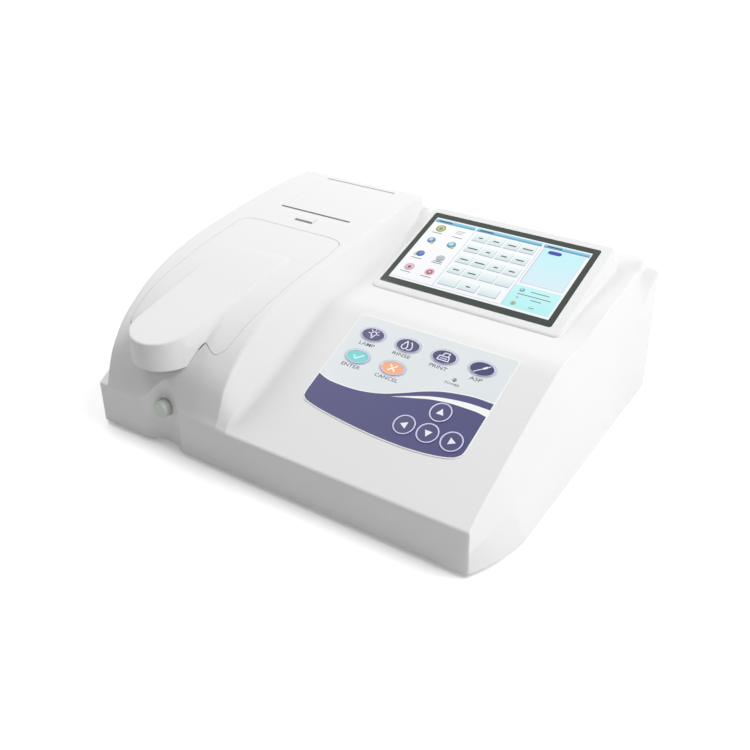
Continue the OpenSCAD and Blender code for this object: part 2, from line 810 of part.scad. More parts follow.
module print_head() {
    color("#3b4a3f") placed() {
        box([38, 228.6, 100], [96, 233.7, 121]);
        box([44, 222, tub_floor + 2], [90, 228.6, 112]);
    }
}

module platen_roller() {
    color("#2a2b2d") placed() {
        rod_x(36, 98, platen_yz[0], platen_yz[1], 6);
        rod_x(18, tub_x[1] + 5.5, platen_yz[0], platen_yz[1], 2);
    }
}

// Involute spur gear outline with z teeth, thinned a little for running clearance
pressure = 20;
gear_play = 0.07;
function inv(a) = tan(a) * 180 / PI - a;
function flank(r, z) =
    let(
        pitch = gear_m * z / 2,
        base = pitch * cos(pressure),
        half = 90 / z - gear_play / pitch * 90 / PI
    )
    half + inv(pressure) - (r > base ? inv(acos(base / r)) : 0);
module gear_outline(z, turn) {
    pitch = gear_m * z / 2;
    base = pitch * cos(pressure);
    tip = pitch + gear_m * 0.95;
    root = pitch - gear_m * 1.3;
    low = max(base, root);
    radii = [for (k = [0:4]) low + (tip - low) * k / 4];
    outline = [for (i = [0:z - 1]) let(c = turn + i * 360 / z) each concat(
        [[root, c - 180 / z + 0.6]], [[root, c - flank(low, z) - 0.4]],
        [for (r = radii) [r, c - flank(r, z)]],
        [for (r = reversed(radii)) [r, c + flank(r, z)]],
        [[root, c + flank(low, z) + 0.4]]
    )];
    polygon([for (p = outline) [p[0] * cos(p[1]), p[0] * sin(p[1])]]);
}

mesh_angle = atan2(pinion_yz[1] - platen_yz[1], pinion_yz[0] - platen_yz[0]);
gear_x = [tub_x[1] + 1, tub_x[1] + 5];

module platen_gear() {
    color("#e8e4d6") placed() translate([0, platen_yz[0], platen_yz[1]]) difference() {
        side_prism(gear_x[0], gear_x[1]) gear_outline(gear_teeth, mesh_angle);
        rod_x(gear_x[0] - 1, gear_x[1] + 1, 0, 0, 2);
    }
}

module feed_pinion() {
    color("#c9a64e") placed() translate([0, pinion_yz[0], pinion_yz[1]]) {
        side_prism(gear_x[0], gear_x[1]) gear_outline(pinion_teeth, mesh_angle + 180 + 180 / pinion_teeth);
        rod_x(104, gear_x[0] + 1, 0, 0, 1.5);
    }
}

module feed_motor() {
    color("#8d9094") placed() difference() {
        union() {
            rod_x(99, tub_x[1] - 2, pinion_yz[0], pinion_yz[1], 9);
            box([99, 222, tub_floor + 2], [tub_x[1] - 2, 234, 104]);
        }
        rod_x(103, 120, pinion_yz[0], pinion_yz[1], 1.55);
    }
}

module paper_roll() {
    color("#fbfbf8") placed() difference() {
        rod_x(67 - paper_w / 2, 67 + paper_w / 2, roll_yz[0], roll_yz[1], paper_d / 2);
        rod_x(0, 130, roll_yz[0], roll_yz[1], 5.6);
    }
}

module printer_cover() {
    color("#f0f1ee") placed() difference() {
        union() {
            intersection() {
                side_prism(door_lo[0], door_hi[0])
                    polygon(concat(arch_line(225, 315, 0), reversed(arch_line(225, 315, 3))));
                box([0, door_lo[1], 100], [200, door_axis[0], 160]);
            }
            rod_x(30, 104, door_axis[0], door_axis[1], barrel_r);
        }
        for (x = door_eyes)
            box([x - eye_gap, door_axis[0] - barrel_r - 0.6, 100], [x + eye_w + eye_gap, 320, 150]);
        rod_x(20, 120, door_axis[0], door_axis[1], bore_r);
    }
}

// Raised finger tab of the latch, on a wider slide below the cover's wall
latch_rise = 1.2;
module printer_latch() {
    color("#e9eae7") placed() {
        intersection() {
            side_prism(latch_lo[0], latch_hi[0])
                polygon(concat(arch_line(206, 226, -latch_rise), reversed(arch_line(206, 226, 4))));
            box([0, latch_lo[1], 100], [200, latch_hi[1], 160]);
        }
        intersection() {
            side_prism(recess_lo[0] - 4, recess_hi[0] + 4)
                polygon(concat(arch_line(206, 226, 3.6), reversed(arch_line(206, 226, 5.2))));
            box([0, recess_lo[1], 100], [200, recess_hi[1] + 3, 160]);
        }
    }
}

// Screen pod
module screen_housing() {
    color("#f2f3f1") placed() difference() {
        intersection() {
            on_pod() translate([pod_lo[0], pod_lo[1], -45])
                rounded_box([pod_hi[0] - pod_lo[0], pod_hi[1] - pod_lo[1], 45], 5);
            side_prism(150, 350) translate([0, 0.02]) polygon(concat(deck_points, [[body_d, 200], [0, 200]]));
        }
        on_pod() box([glass_lo[0], glass_lo[1], -1.8], [glass_lo[0] + glass_w, glass_lo[1] + glass_h, 5]);
        on_pod() box(
            [glass_lo[0] + glass_ledge, glass_lo[1] + glass_ledge, -60],
            [glass_lo[0] + glass_w - glass_ledge, glass_lo[1] + glass_h - glass_ledge, 5]
        );
    }
}

glass_gap = 0.3;
module touch_glass() {
    color("#5c6a66") placed() on_pod()
        translate([glass_lo[0] + glass_gap, glass_lo[1] + glass_gap, -1.79])
            rounded_box([glass_w - 2 * glass_gap, glass_h - 2 * glass_gap, 1.75], 2);
}

module lcd_module() {
    color("#3d7fb0") placed() on_pod() {
        box([lcd_lo[0] - 2, lcd_lo[1] - 3.8, -7.6], [lcd_lo[0] + lcd_w + 2, lcd_lo[1] + lcd_h + 2, -1.85]);
        box([lcd_lo[0] + 20, lcd_lo[1] + 20, -12], [lcd_lo[0] + 90, lcd_lo[1] + 60, -7.5]);
    }
}

// Key panel
overlay_t = 0.7;
key_gap = 0.25;
flange = 0.7;
flange_t = 0.9;
key_rise = 0.7;
bow = 9;
oval_lo = [205.5, 108.5];
oval_pitch = [34.1, 25.2];
ovals = concat(
    [for (i = [0:3]) oval_lo + [i * oval_pitch[0], oval_pitch[1]]],
    [for (i = [0:1]) oval_lo + [i * oval_pitch[0], 0]]
);
arrow_mid = [297.8, 63.3];
arrow_pitch = 20.8;
arrows = [for (p = [[0, 1], [-1, 0], [0, 0], [1, 0]]) arrow_mid + arrow_pitch * p];
led_at = [292.4, 116.2];

module overlay_outline() {
    lo = panel_lo;
    hi = panel_hi;
    mid = (lo[0] + hi[0]) / 2 + 10;
    half = (hi[0] - lo[0]) / 2;
    polygon(concat(
        [for (a = [0:22.5:90]) [hi[0] - 4 + 4 * cos(a), hi[1] - 4 + 4 * sin(a)]],
        [for (a = [90:22.5:180]) [lo[0] + 4 + 4 * cos(a), hi[1] - 4 + 4 * sin(a)]],
        [for (a = [180:15:240]) [lo[0] + 8 + 8 * cos(a), lo[1] + 9 + 8 * sin(a)]],
        [for (t = [0.12:0.08:0.92])
            let(x = lo[0] + t * 2 * half, u = (x - mid) / half) [x, lo[1] + 1 - bow + bow * u * u]],
        [for (a = [300:15:360]) [hi[0] - 8 + 8 * cos(a), lo[1] + 8 + 8 * sin(a)]]
    ));
}

module key_overlay() {
    color("#dfe6e8") placed() on_deck() difference() {
        translate([0, 0, 0.01]) linear_extrude(overlay_t) overlay_outline();
        for (p = ovals) translate([p[0], p[1], -1])
            linear_extrude(3) ellipse(key_len / 2 + key_gap, key_wid / 2 + key_gap);
        for (p = arrows) translate([p[0], p[1], -1]) cylinder(h = 3, r = arrow_d / 2 + key_gap);
        translate([led_at[0], led_at[1], -1]) cylinder(h = 3, r = 1.8);
    }
}

board_top = -3.6;
flange_low = -1.1;
dome_top = flange_low - key_travel - 0.05;
module keypad_board() {
    color("#2f6b4a") placed() on_deck() {
        translate([0, 0, board_top - 1.6]) linear_extrude(1.6)
            polygon([
                [185.6, 94], [261.6, 94], [261.6, 48], [325.6, 48], [333.6, 56], [333.6, 150], [185.6, 150]
            ]);
        for (p = concat(ovals, arrows)) translate([p[0], p[1], board_top - 0.1])
            cylinder(h = dome_top - board_top + 0.1, r = 3);
        for (p = [[187.1, 148], [331.6, 148], [331.9, 100], [263.1, 50], [186.6, 95.3]])
            translate([p[0], p[1], board_top - 0.1])
                cylinder(h = 0.08 - board_top - wall * 1.03 * cos(deck_slope), r = 0.9);
    }
}

module oval_key(i, tint) {
    color(tint) placed() on_deck() translate([ovals[i][0], ovals[i][1], 0]) {
        translate([0, 0, flange_low]) linear_extrude(overlay_t + key_rise - flange_low)
            ellipse(key_len / 2, key_wid / 2);
        translate([0, 0, flange_low]) linear_extrude(flange_t)
            ellipse(key_len / 2 + flange, key_wid / 2 + flange);
    }
}

module arrow_key(i) {
    color("#5a5885") placed() on_deck() translate([arrows[i][0], arrows[i][1], 0]) {
        translate([0, 0, flange_low]) cylinder(h = overlay_t + key_rise - flange_low, r = arrow_d / 2);
        translate([0, 0, flange_low]) cylinder(h = flange_t, r = arrow_d / 2 + flange);
    }
}

module key_lamp() { oval_key(0, "#4a4a78"); }
module key_rinse() { oval_key(1, "#4a4a78"); }
module key_print() { oval_key(2, "#4a4a78"); }
module key_aspirate() { oval_key(3, "#4a4a78"); }
module key_enter() { oval_key(4, "#5cc4bc"); }
module key_cancel() { oval_key(5, "#f0a878"); }
module key_up() { arrow_key(0); }
module key_left() { arrow_key(1); }
module key_down() { arrow_key(2); }
module key_right() { arrow_key(3); }

module power_led() {
    color("#9fb8a6") placed() on_deck() translate([led_at[0], led_at[1], 0]) {
        translate([0, 0, board_top]) cylinder(h = overlay_t - board_top, r = 1.5);
        translate([0, 0, overlay_t - 0.2]) cylinder(h = 0.5, r = 1.2);
    }
}

// Aspirate button
button_front = 1.5;
stem_end = 31;
module aspirate_button() {
    color("#dfe1de") placed() {
        rod_y(button_front, 25, button_x, button_z, button_d / 2);
        rod_y(24.6, 26.6, button_x, button_z, button_d / 2 + 2);
        rod_y(26, stem_end, button_x, button_z, 3);
    }
}

module aspirate_switch() {
    color("#2b2c2e") placed() {
        box(
            [button_x - 10, stem_end + button_travel + 0.6, button_z - 10],
            [button_x + 10, 50, button_z + 10]
        );
        box([button_x - 10, 40, plate_top], [button_x + 10, 50, button_z - 9]);
    }
}

// Electronics and rear fittings
module main_board() {
    color("#2f6b4a") placed() {
        box([208, 34, 8], [350, 190, 9.6]);
        for (p = [[214, 40], [344, 40], [214, 184], [344, 184]]) rod_z(plate_top, 8.1, p[0], p[1], 3);
        box([250, 80, 9.5], [278, 108, 12.5]);
        box([300, 70, 9.5], [322, 84, 12]);
        box([300, 100, 9.5], [322, 114, 12]);
        box([220, 120, 9.5], [232, 168, 18]);
        for (y = [60:20:120]) rod_z(9.5, 21, 338, y, 5);
    }
}

module power_supply() {
    color("#b3b7ba") placed() difference() {
        box([238, 203, plate_top], [350, 282, 46]);
        box([240, 205, 20], [348, 280, 44]);
        for (x = [246:8:340]) box([x, 200, 26], [x + 3, 286, 40]);
    }
}

module fan_frame() {
    color("#2b2c2e") placed() difference() {
        box([fan_x - 30, recess_floor - 15.2, fan_z - 30], [fan_x + 30, recess_floor - 0.2, fan_z + 30]);
        rod_y(280, 310, fan_x, fan_z, 28);
        for (sx = [-1, 1], sz = [-1, 1]) rod_y(280, 310, fan_x + sx * 25, fan_z + sz * 25, 2.1);
    }
    color("#2b2c2e") placed() {
        rod_y(recess_floor - 15.2, recess_floor - 12.7, fan_x, fan_z, 12);
        rod_y(recess_floor - 13, recess_floor - 4, fan_x, fan_z, 2);
        for (a = [45:90:315]) translate([fan_x, recess_floor - 14.2, fan_z]) rotate([0, a, 0])
            translate([10, -1, -1.5]) cube([19, 2, 3]);
    }
}

module fan_rotor() {
    color("#3a3b3e") placed() translate([fan_x, 0, fan_z]) difference() {
        union() {
            rod_y(recess_floor - 12, recess_floor - 1.5, 0, 0, 12);
            for (a = [0:360 / 7:359]) rotate([0, a, 0]) translate([11, recess_floor - 7, 0])
                rotate([35, 0, 0]) translate([0, -6, -0.8]) cube([15.4, 10.4, 1.6]);
        }
        rod_y(recess_floor - 20, recess_floor - 3, 0, 0, 2.06);
    }
}

module power_inlet() {
    color("#242527") placed() {
        difference() {
            union() {
                box([inlet_x - 16, 307.5, inlet_z - 17], [inlet_x + 16, 310.5, inlet_z + 17]);
                box([inlet_x - 13.5, 286, inlet_z - 14.5], [inlet_x + 13.5, 308, inlet_z + 14.5]);
            }
            box([inlet_x - 12.2, 294, inlet_z - 13], [inlet_x + 12.2, 312, inlet_z + 3.5]);
            box([inlet_x - 9, 309.5, inlet_z + 6], [inlet_x + 9, 312, inlet_z + 13]);
        }
        for (p = [[-7, -7.5], [7, -7.5], [0, -1.8]])
            box([inlet_x + p[0] - 1, 292, inlet_z + p[1] - 2], [inlet_x + p[0] + 1, 308, inlet_z + p[1] + 2]);
    }
}

module data_ports() {
    color("#3b3d40") placed() for (z = port_z) {
        box([port_x - 15.4, 307.5, z - 6.2], [port_x + 15.4, 309, z + 6.2]);
        box([port_x - 9.5, 294, z - 4.8], [port_x + 9.5, 308, z + 4.8]);
        translate([port_x, 308.5, z]) rotate([-90, 0, 0]) linear_extrude(6)
            polygon([[-8.4, -4], [8.4, -4], [7.2, 4], [-7.2, 4]]);
        for (x = [port_x - 12.5, port_x + 12.5])
            translate([x, 308.5, z]) rotate([-90, 0, 0]) cylinder(h = 5, r = 2.4, $fn = 6);
    }
}

module waste_fitting() {
    color("#d8d4c6") placed() difference() {
        union() {
            rod_y(309.4, body_d - 0.5, waste_x, waste_z, 2.5);
            rod_y(307.5, 309.5, waste_x, waste_z, 6.5);
            rod_y(296, 307.6, waste_x, waste_z, 4);
            rod_y(288, 296.1, waste_x, waste_z, 2.5);
        }
        rod_y(280, 330, waste_x, waste_z, 1.25);
    }
}

rocker_y = 305;
rocker_w = 13.4;
rocker_gap = 0.3;
module switch_body() {
    color("#242527") placed() difference() {
        union() {
            box([switch_x - 10, 307.5, switch_z - 14], [switch_x + 10, 309.3, switch_z + 14]);
            box([switch_x - 8.4, 290, switch_z - 12.4], [switch_x + 8.4, 308, switch_z + 12.4]);
        }
        box(
            [switch_x - rocker_w / 2 - rocker_gap, 297, switch_z - 11.4],
            [switch_x + rocker_w / 2 + rocker_gap, 312, switch_z + 11.4]
        );
        rod_x(switch_x - 9, switch_x + 9, rocker_y, switch_z, 1.25);
    }
}

module switch_rocker() {
    color("#2c6e3f") placed() {
        side_prism(switch_x - rocker_w / 2, switch_x + rocker_w / 2) translate([rocker_y, switch_z])
            polygon([[-2.5, -9.3], [2.6, -9.3], [4.2, 0], [6.6, 9.2], [-2.5, 9.2]]);
        rod_x(switch_x - 8, switch_x + 8, rocker_y, switch_z, 1.2);
    }
}

top_cover();
base_plate();
rear_panel();
rubber_feet();
case_screws();
sample_lid();
hinge_pins();
sample_well();
cell_holder();
flow_cell();
sipper_probe();
probe_arm();
silicone_tubing();
pump_housing();
pump_rotor();
pump_motor();
waste_fitting();
lamp_housing();
halogen_lamp();
condenser_lens();
filter_wheel();
optical_filters();
filter_motor();
detector_board();
printer_frame();
print_head();
platen_roller();
platen_gear();
feed_motor();
feed_pinion();
paper_roll();
printer_cover();
printer_latch();
screen_housing();
touch_glass();
lcd_module();
key_overlay();
keypad_board();
key_lamp();
key_rinse();
key_print();
key_aspirate();
key_enter();
key_cancel();
key_up();
key_left();
key_down();
key_right();
power_led();
aspirate_button();
aspirate_switch();
main_board();
power_supply();
fan_frame();
fan_rotor();
power_inlet();
data_ports();
switch_body();
switch_rocker();
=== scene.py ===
"""Benchtop chemistry analyzer: case, lid, screen, key panel, slip printer and fittings over the frame."""
import json
import math

import bmesh
import bpy
from bpy.props import FloatProperty, FloatVectorProperty, PointerProperty
from mathutils import Matrix, Vector
from mathutils.geometry import delaunay_2d_cdt


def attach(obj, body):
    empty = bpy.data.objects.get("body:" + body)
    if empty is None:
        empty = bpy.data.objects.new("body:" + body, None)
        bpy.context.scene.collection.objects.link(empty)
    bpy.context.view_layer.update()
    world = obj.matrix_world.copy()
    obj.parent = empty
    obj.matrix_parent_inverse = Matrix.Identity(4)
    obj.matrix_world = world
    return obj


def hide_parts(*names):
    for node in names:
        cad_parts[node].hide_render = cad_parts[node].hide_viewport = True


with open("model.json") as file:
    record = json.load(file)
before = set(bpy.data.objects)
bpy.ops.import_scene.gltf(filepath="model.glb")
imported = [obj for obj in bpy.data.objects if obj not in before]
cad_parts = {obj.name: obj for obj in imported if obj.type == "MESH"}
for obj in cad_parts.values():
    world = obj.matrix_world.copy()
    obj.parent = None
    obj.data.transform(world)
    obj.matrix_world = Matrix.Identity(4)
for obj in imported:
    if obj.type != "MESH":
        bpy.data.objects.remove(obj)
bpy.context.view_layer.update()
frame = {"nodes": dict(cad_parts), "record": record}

bl_info = {
    "name": "Benchtop chemistry analyzer",
    "version": (1, 0, 0),
    "blender": (4, 5, 0),
    "location": "View3D > Sidebar > Analyzer",
    "description": "Builds the case, lid, screen, keys and fittings of a benchtop analyzer over its frame",
    "category": "Object",
}

MM = 0.001

# The body's width and depth, and the height of the ledge round its front and sides, in millimetres
WIDTH, DEPTH, LEDGE = 367.0, 320.0, 39.0
# The key panel's plane and the screen pod's plane: slope in degrees, and height at the body's front
DECK_SLOPE, DECK_Z = 22.5, 39.0
POD_SLOPE, POD_Z = 17.5, 44.0

# Body coordinates in millimetres: x right and y back from the front left corner, z up from the cover's edge
BODY = Matrix.Translation((-0.1835, -0.158, 0.003))
# The two planes: x right, y up the slope, z out of the surface
DECK = BODY @ Matrix.Translation((0, 0, DECK_Z * MM)) @ Matrix.Rotation(math.radians(DECK_SLOPE), 4, "X")
POD = BODY @ Matrix.Translation((0, 0, POD_Z * MM)) @ Matrix.Rotation(math.radians(POD_SLOPE), 4, "X")


# Curves

def smooth_curve(points):
    """Value of a curve through points that never swings past them."""
    xs = [p[0] for p in points]
    ys = [p[1] for p in points]
    last = len(xs) - 1
    rise = [(ys[i + 1] - ys[i]) / (xs[i + 1] - xs[i]) for i in range(last)]
    slope = [rise[0]]
    for i in range(1, last):
        a, b = rise[i - 1], rise[i]
        slope.append(0 if a * b <= 0 else 2 * a * b / (a + b))
    slope.append(rise[-1])

    def value(x):
        x = min(max(x, xs[0]), xs[-1])
        i = max(k for k in range(last) if xs[k] <= x or k == 0)
        h = xs[i + 1] - xs[i]
        u = (x - xs[i]) / h
        return ((1 + 2 * u) * (1 - u) ** 2 * ys[i] + u * (1 - u) ** 2 * h * slope[i]
                + u * u * (3 - 2 * u) * ys[i + 1] + u * u * (u - 1) * h * slope[i + 1])
    return value


# Top of the sample side and of the deck along the depth of the body
arch = smooth_curve([(0, 39.5), (3, 44), (7, 53), (14, 68), (27, 83), (45, 96), (70, 107), (100, 115),
                     (135, 121.5), (180, 127.5), (230, 132.5), (280, 136), (320, 137)])
deck = smooth_curve([(0, 39), (70, 67.995), (130, 92.848), (140, 96.7), (152, 99.3), (186, 100.6),
                     (235, 109.6), (285, 117), (300, 119.5), (310, 125), (320, 126.5)])
# Sides of the body, its front corners rounded; the left wall's foot and top; and the deck's right edge
FLARE = [(0, 0), (24, 10.98), (51, 17.35), (56, 18), (83, 17.46), (122, 16.56)]
left_flare = smooth_curve(FLARE + [(320, 15.84)])
right_flare = smooth_curve(FLARE + [(208, 14.76), (249, 13.32), (320, 12.6)])
left_foot = smooth_curve([(0, 10.4), (12, 8), (45, -3), (80, -10.5), (130, -14), (320, -15)])
left_top = smooth_curve([(0, 10.5), (3, 8.8), (14, 7.3), (20, 6.5), (32, 4), (50, 1), (78, -5),
                         (121, -12), (160, -14.4), (235, -14.4), (287, -13), (320, -11)])
deck_edge = smooth_curve([(0, 366.5), (18, 364.7), (45, 364), (100, 363), (138, 363.3), (320, 365.2)])


def flared(side, y):
    """How far a side stands out at depth y, with the vertical front corner rounded off."""
    if y < CORNER_DEPTH:
        return math.sqrt(CORNER_R ** 2 - (CORNER_R - y) ** 2) - CORNER_BACK
    return side(y)


def mix(a, b, t):
    return a + (b - a) * t


def ease(t):
    t = min(max(t, 0), 1)
    return t * t * (3 - 2 * t)


def through(points, steps=6, closed=False):
    """Points of a smooth line through given ones, without loops at close points."""
    n = len(points)
    line = []
    for i in range(n if closed else n - 1):
        near = [(i + k) % n if closed else min(max(i + k, 0), n - 1) for k in (-1, 0, 1, 2)]
        p = [Vector(points[k]) for k in near]
        knots = [0.0]
        for k in range(3):
            knots.append(knots[-1] + max(math.sqrt((p[k + 1] - p[k]).length), 1e-4))
        for s in range(steps):
            t = mix(knots[1], knots[2], s / steps)
            a = [p[k] + (p[k + 1] - p[k]) * ((t - knots[k]) / (knots[k + 1] - knots[k])) for k in range(3)]
            b = [a[k] + (a[k + 1] - a[k]) * ((t - knots[k]) / (knots[k + 2] - knots[k])) for k in range(2)]
            line.append(tuple(b[0] + (b[1] - b[0]) * ((t - knots[1]) / (knots[2] - knots[1]))))
    if not closed:
        line.append(tuple(points[-1]))
    return line


def grown(outline, by):
    """A closed counterclockwise outline moved outwards."""
    moved = []
    for i, point in enumerate(outline):
        before, after = Vector(outline[i - 1]), Vector(outline[(i + 1) % len(outline)])
        run = after - before
        normal = Vector((run.y, -run.x)).normalized()
        moved.append(tuple(Vector(point) + normal * by))
    return moved


def arc(x, y, radius, start, end, steps, wide=None):
    """Points on a round or oval arc, both ends included."""
    turns = [math.radians(mix(start, end, i / steps)) for i in range(steps + 1)]
    return [(x + (wide or radius) * math.cos(a), y + radius * math.sin(a)) for a in turns]


def rounded(x0, y0, x1, y1, radius, steps=8):
    """Counterclockwise rectangle with round corners."""
    middles = box_of(x0 + radius, y0 + radius, x1 - radius, y1 - radius)
    return [p for k in range(4) for p in arc(*middles[(k + 1) % 4], radius, 90 * k - 90, 90 * k, steps)]


def oval(x, y, wide, high, steps=48):
    return arc(x, y, high, 0, 360 - 360 / steps, steps - 1, wide=wide)


def box_of(x0, y0, x1, y1):
    return [(x0, y0), (x1, y0), (x1, y1), (x0, y1)]


def stroke(points, width):
    """Regions that together draw a line with round ends."""
    parts = [oval(x, y, width / 2, width / 2, 12) for x, y in points]
    for a, b in zip(points, points[1:]):
        run = (Vector(b) - Vector(a)).normalized() * width / 2
        side = Vector((run.y, -run.x))
        parts.append([tuple(Vector(p) + off) for p, off in ((a, side), (b, side), (b, -side), (a, -side))])
    return parts


# Meshes

def piece(name, points, faces, place=BODY, materials=(), tints=None, uvs=None):
    """A new object from points in millimetres, its faces turned outwards."""
    mesh = bpy.data.meshes.new(name)
    mesh.from_pydata([place @ (Vector(p) * MM) for p in points], [], faces)
    for material in materials:
        mesh.materials.append(material)
    if tints:
        mesh.polygons.foreach_set("material_index", tints)
    if uvs:
        layer = mesh.uv_layers.new(name="print")
        for polygon in mesh.polygons:
            for k, corner in enumerate(polygon.loop_indices):
                layer.data[corner].uv = uvs[polygon.index][k]
    shape = bmesh.new()
    shape.from_mesh(mesh)
    bmesh.ops.remove_doubles(shape, verts=shape.verts, dist=1e-8)
    bmesh.ops.recalc_face_normals(shape, faces=shape.faces)
    shape.to_mesh(mesh)
    shape.free()
    made = bpy.data.objects.new(name, mesh)
    bpy.context.scene.collection.objects.link(made)
    return made


def skin(rings):
    """Points and side faces over rings with the same number of points."""
    n = len(rings[0])
    points = [p for ring in rings for p in ring]
    faces = []
    for i in range(len(rings) - 1):
        for j in range(n):
            a, b = i * n + j, i * n + (j + 1) % n
            faces.append([a, a + n, b + n, b])
    return points, faces


def loft(rings):
    """The same skin closed at both ends."""
    points, sides = skin(rings)
    n = len(rings[0])
    return points, [list(range(n)), list(range(len(points) - 1, len(points) - n - 1, -1))] + sides


def placed(axis, a, b, along):
    """A point given along one axis and on the two other axes in order."""
    return {"x": (along, a, b), "y": (a, along, b), "z": (a, b, along)}[axis]


def prism(outline, axis, low, high):
    """A flat outline made solid along one axis."""
    return loft([[placed(axis, *p, along) for p in outline] for along in (low, high)])


def block(x0, y0, z0, x1, y1, z1):
    return prism(box_of(x0, y0, x1, y1), "z", z0, z1)


def rod(middle, radius, axis, low, high, steps=48):
    return prism(oval(*middle, radius, radius, steps), axis, low, high)


def lathe(profile, middle, axis, steps):
    """A turned form round a middle: profile is (radius, along), from one end on the axis to the other."""
    rings = []
    for radius, along in profile:
        radius = max(radius, 0.001)
        rings.append([placed(axis, *p, along) for p in oval(*middle, radius, radius, steps)])
    return loft(rings)


def triangles(regions, lines=(), holes=()):
    """Plan points, triangles over the first region less the holes, and the last region that holds each."""
    points, edges, faces = [], [], []
    for region in list(regions) + list(holes):
        area = sum(a[0] * b[1] - b[0] * a[1] for a, b in zip(region, region[1:] + region[:1]))
        start = len(points)
        points += [Vector(p) for p in (region if area > 0 else region[::-1])]
        faces.append(list(range(start, len(points))))
    for line in lines:
        start = len(points)
        points += [Vector(p) for p in line]
        edges += [(i, i + 1) for i in range(start, len(points) - 1)]
    spots, _, cells, _, _, owners = delaunay_2d_cdt(points, edges, faces, 0, 1e-4)
    kept, tags = [], []
    for cell, owner in zip(cells, owners):
        if 0 in owner and max(owner) < len(regions):
            kept.append(list(cell))
            tags.append(max(owner))
    used = sorted({i for cell in kept for i in cell})
    new = {old: i for i, old in enumerate(used)}
    return [tuple(spots[i]) for i in used], [[new[i] for i in cell] for cell in kept], tags


def plate(regions, top, bottom, lines=(), holes=()):
    """A closed solid over flat regions: top and bottom give its height at a plan point."""
    spots, cells, tags = triangles(regions, lines, holes)
    n = len(spots)
    points = [(x, y, top(x, y)) for x, y in spots] + [(x, y, bottom(x, y)) for x, y in spots]
    faces = list(cells) + [[i + n for i in reversed(cell)] for cell in cells]
    tints = tags + tags
    sides = {}
    for cell, tag in zip(cells, tags):
        for a, b in zip(cell, cell[1:] + cell[:1]):
            if (b, a) in sides:
                del sides[(b, a)]
            else:
                sides[(a, b)] = tag
    for (a, b), tag in sides.items():
        faces.append([b, a, a + n, b + n])
        tints.append(tag)
    return points, faces, tints


def settle(target):
    """Makes a piece's modifiers part of its mesh."""
    shown = target.evaluated_get(bpy.context.evaluated_depsgraph_get())
    mesh = bpy.data.meshes.new_from_object(shown)
    target.modifiers.clear()
    old = target.data
    target.data = mesh
    bpy.data.meshes.remove(old)


def carve(target, cutter, operation="DIFFERENCE"):
    """Cuts one closed piece with another, or joins them, and takes the cutter away."""
    change = target.modifiers.new("carve", "BOOLEAN")
    change.object = cutter
    change.operation = operation
    change.solver = "MANIFOLD"
    settle(target)
    if not target.data.polygons:
        raise RuntimeError(f"{target.name} is empty after {cutter.name}")
    bpy.data.objects.remove(cutter)


def tool(name, form, place=BODY):
    return piece(name, *form, place)


def cut(target, name, form, place=BODY, operation="DIFFERENCE"):
    """Cuts a form out of a closed piece, or joins it on."""
    carve(target, tool(name, form, place), operation)


def tie(target, bodyname, slot, replaced=()):
    """Lets a piece ride on its body and hides the nodes that it stands for; slot is not used."""
    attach(target, bodyname)
    if replaced:
        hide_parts(*replaced)


def dress(target, bodyname, slot, replaced=(), material=None, edge=0.0, angle=40, segments=2, smooth=32):
    """Gives a piece its material, rounds its hard edges, shades it and ties it to the frame."""
    if material:
        target.data.materials.append(material)
    if edge:
        bevel = target.modifiers.new("edge", "BEVEL")
        bevel.width = edge * MM
        bevel.segments = segments
        bevel.limit_method = "ANGLE"
        bevel.angle_limit = math.radians(angle)
        bevel.miter_outer = "MITER_ARC"
        settle(target)
    mesh = target.data
    mesh.polygons.foreach_set("use_smooth", [True] * len(mesh.polygons))
    mesh.set_sharp_from_angle(angle=math.radians(smooth))
    even = target.modifiers.new("even", "WEIGHTED_NORMAL")
    even.keep_sharp = True
    even.weight = 50
    settle(target)
    tie(target, bodyname, slot, replaced)


# Finishes

def linear(code):
    """Linear colour of an sRGB hex value."""
    parts = [int(code[i:i + 2], 16) / 255 for i in (1, 3, 5)]
    return [c / 12.92 if c <= 0.04045 else ((c + 0.055) / 1.055) ** 2.4 for c in parts] + [1.0]


def blank(made):
    """The emptied node tree of a new material or world."""
    made.use_nodes = True
    made.node_tree.nodes.clear()
    return made.node_tree


def add(tree, kind, inputs=None, **settings):
    """Adds a shader node: settings are its own properties, inputs are values or the sockets that feed it."""
    made = tree.nodes.new("ShaderNode" + kind)
    for name, value in settings.items():
        setattr(made, name, value)
    for name, value in (inputs or {}).items():
        if isinstance(value, bpy.types.NodeSocket):
            tree.links.new(value, made.inputs[name])
        else:
            made.inputs[name].default_value = value
    return made


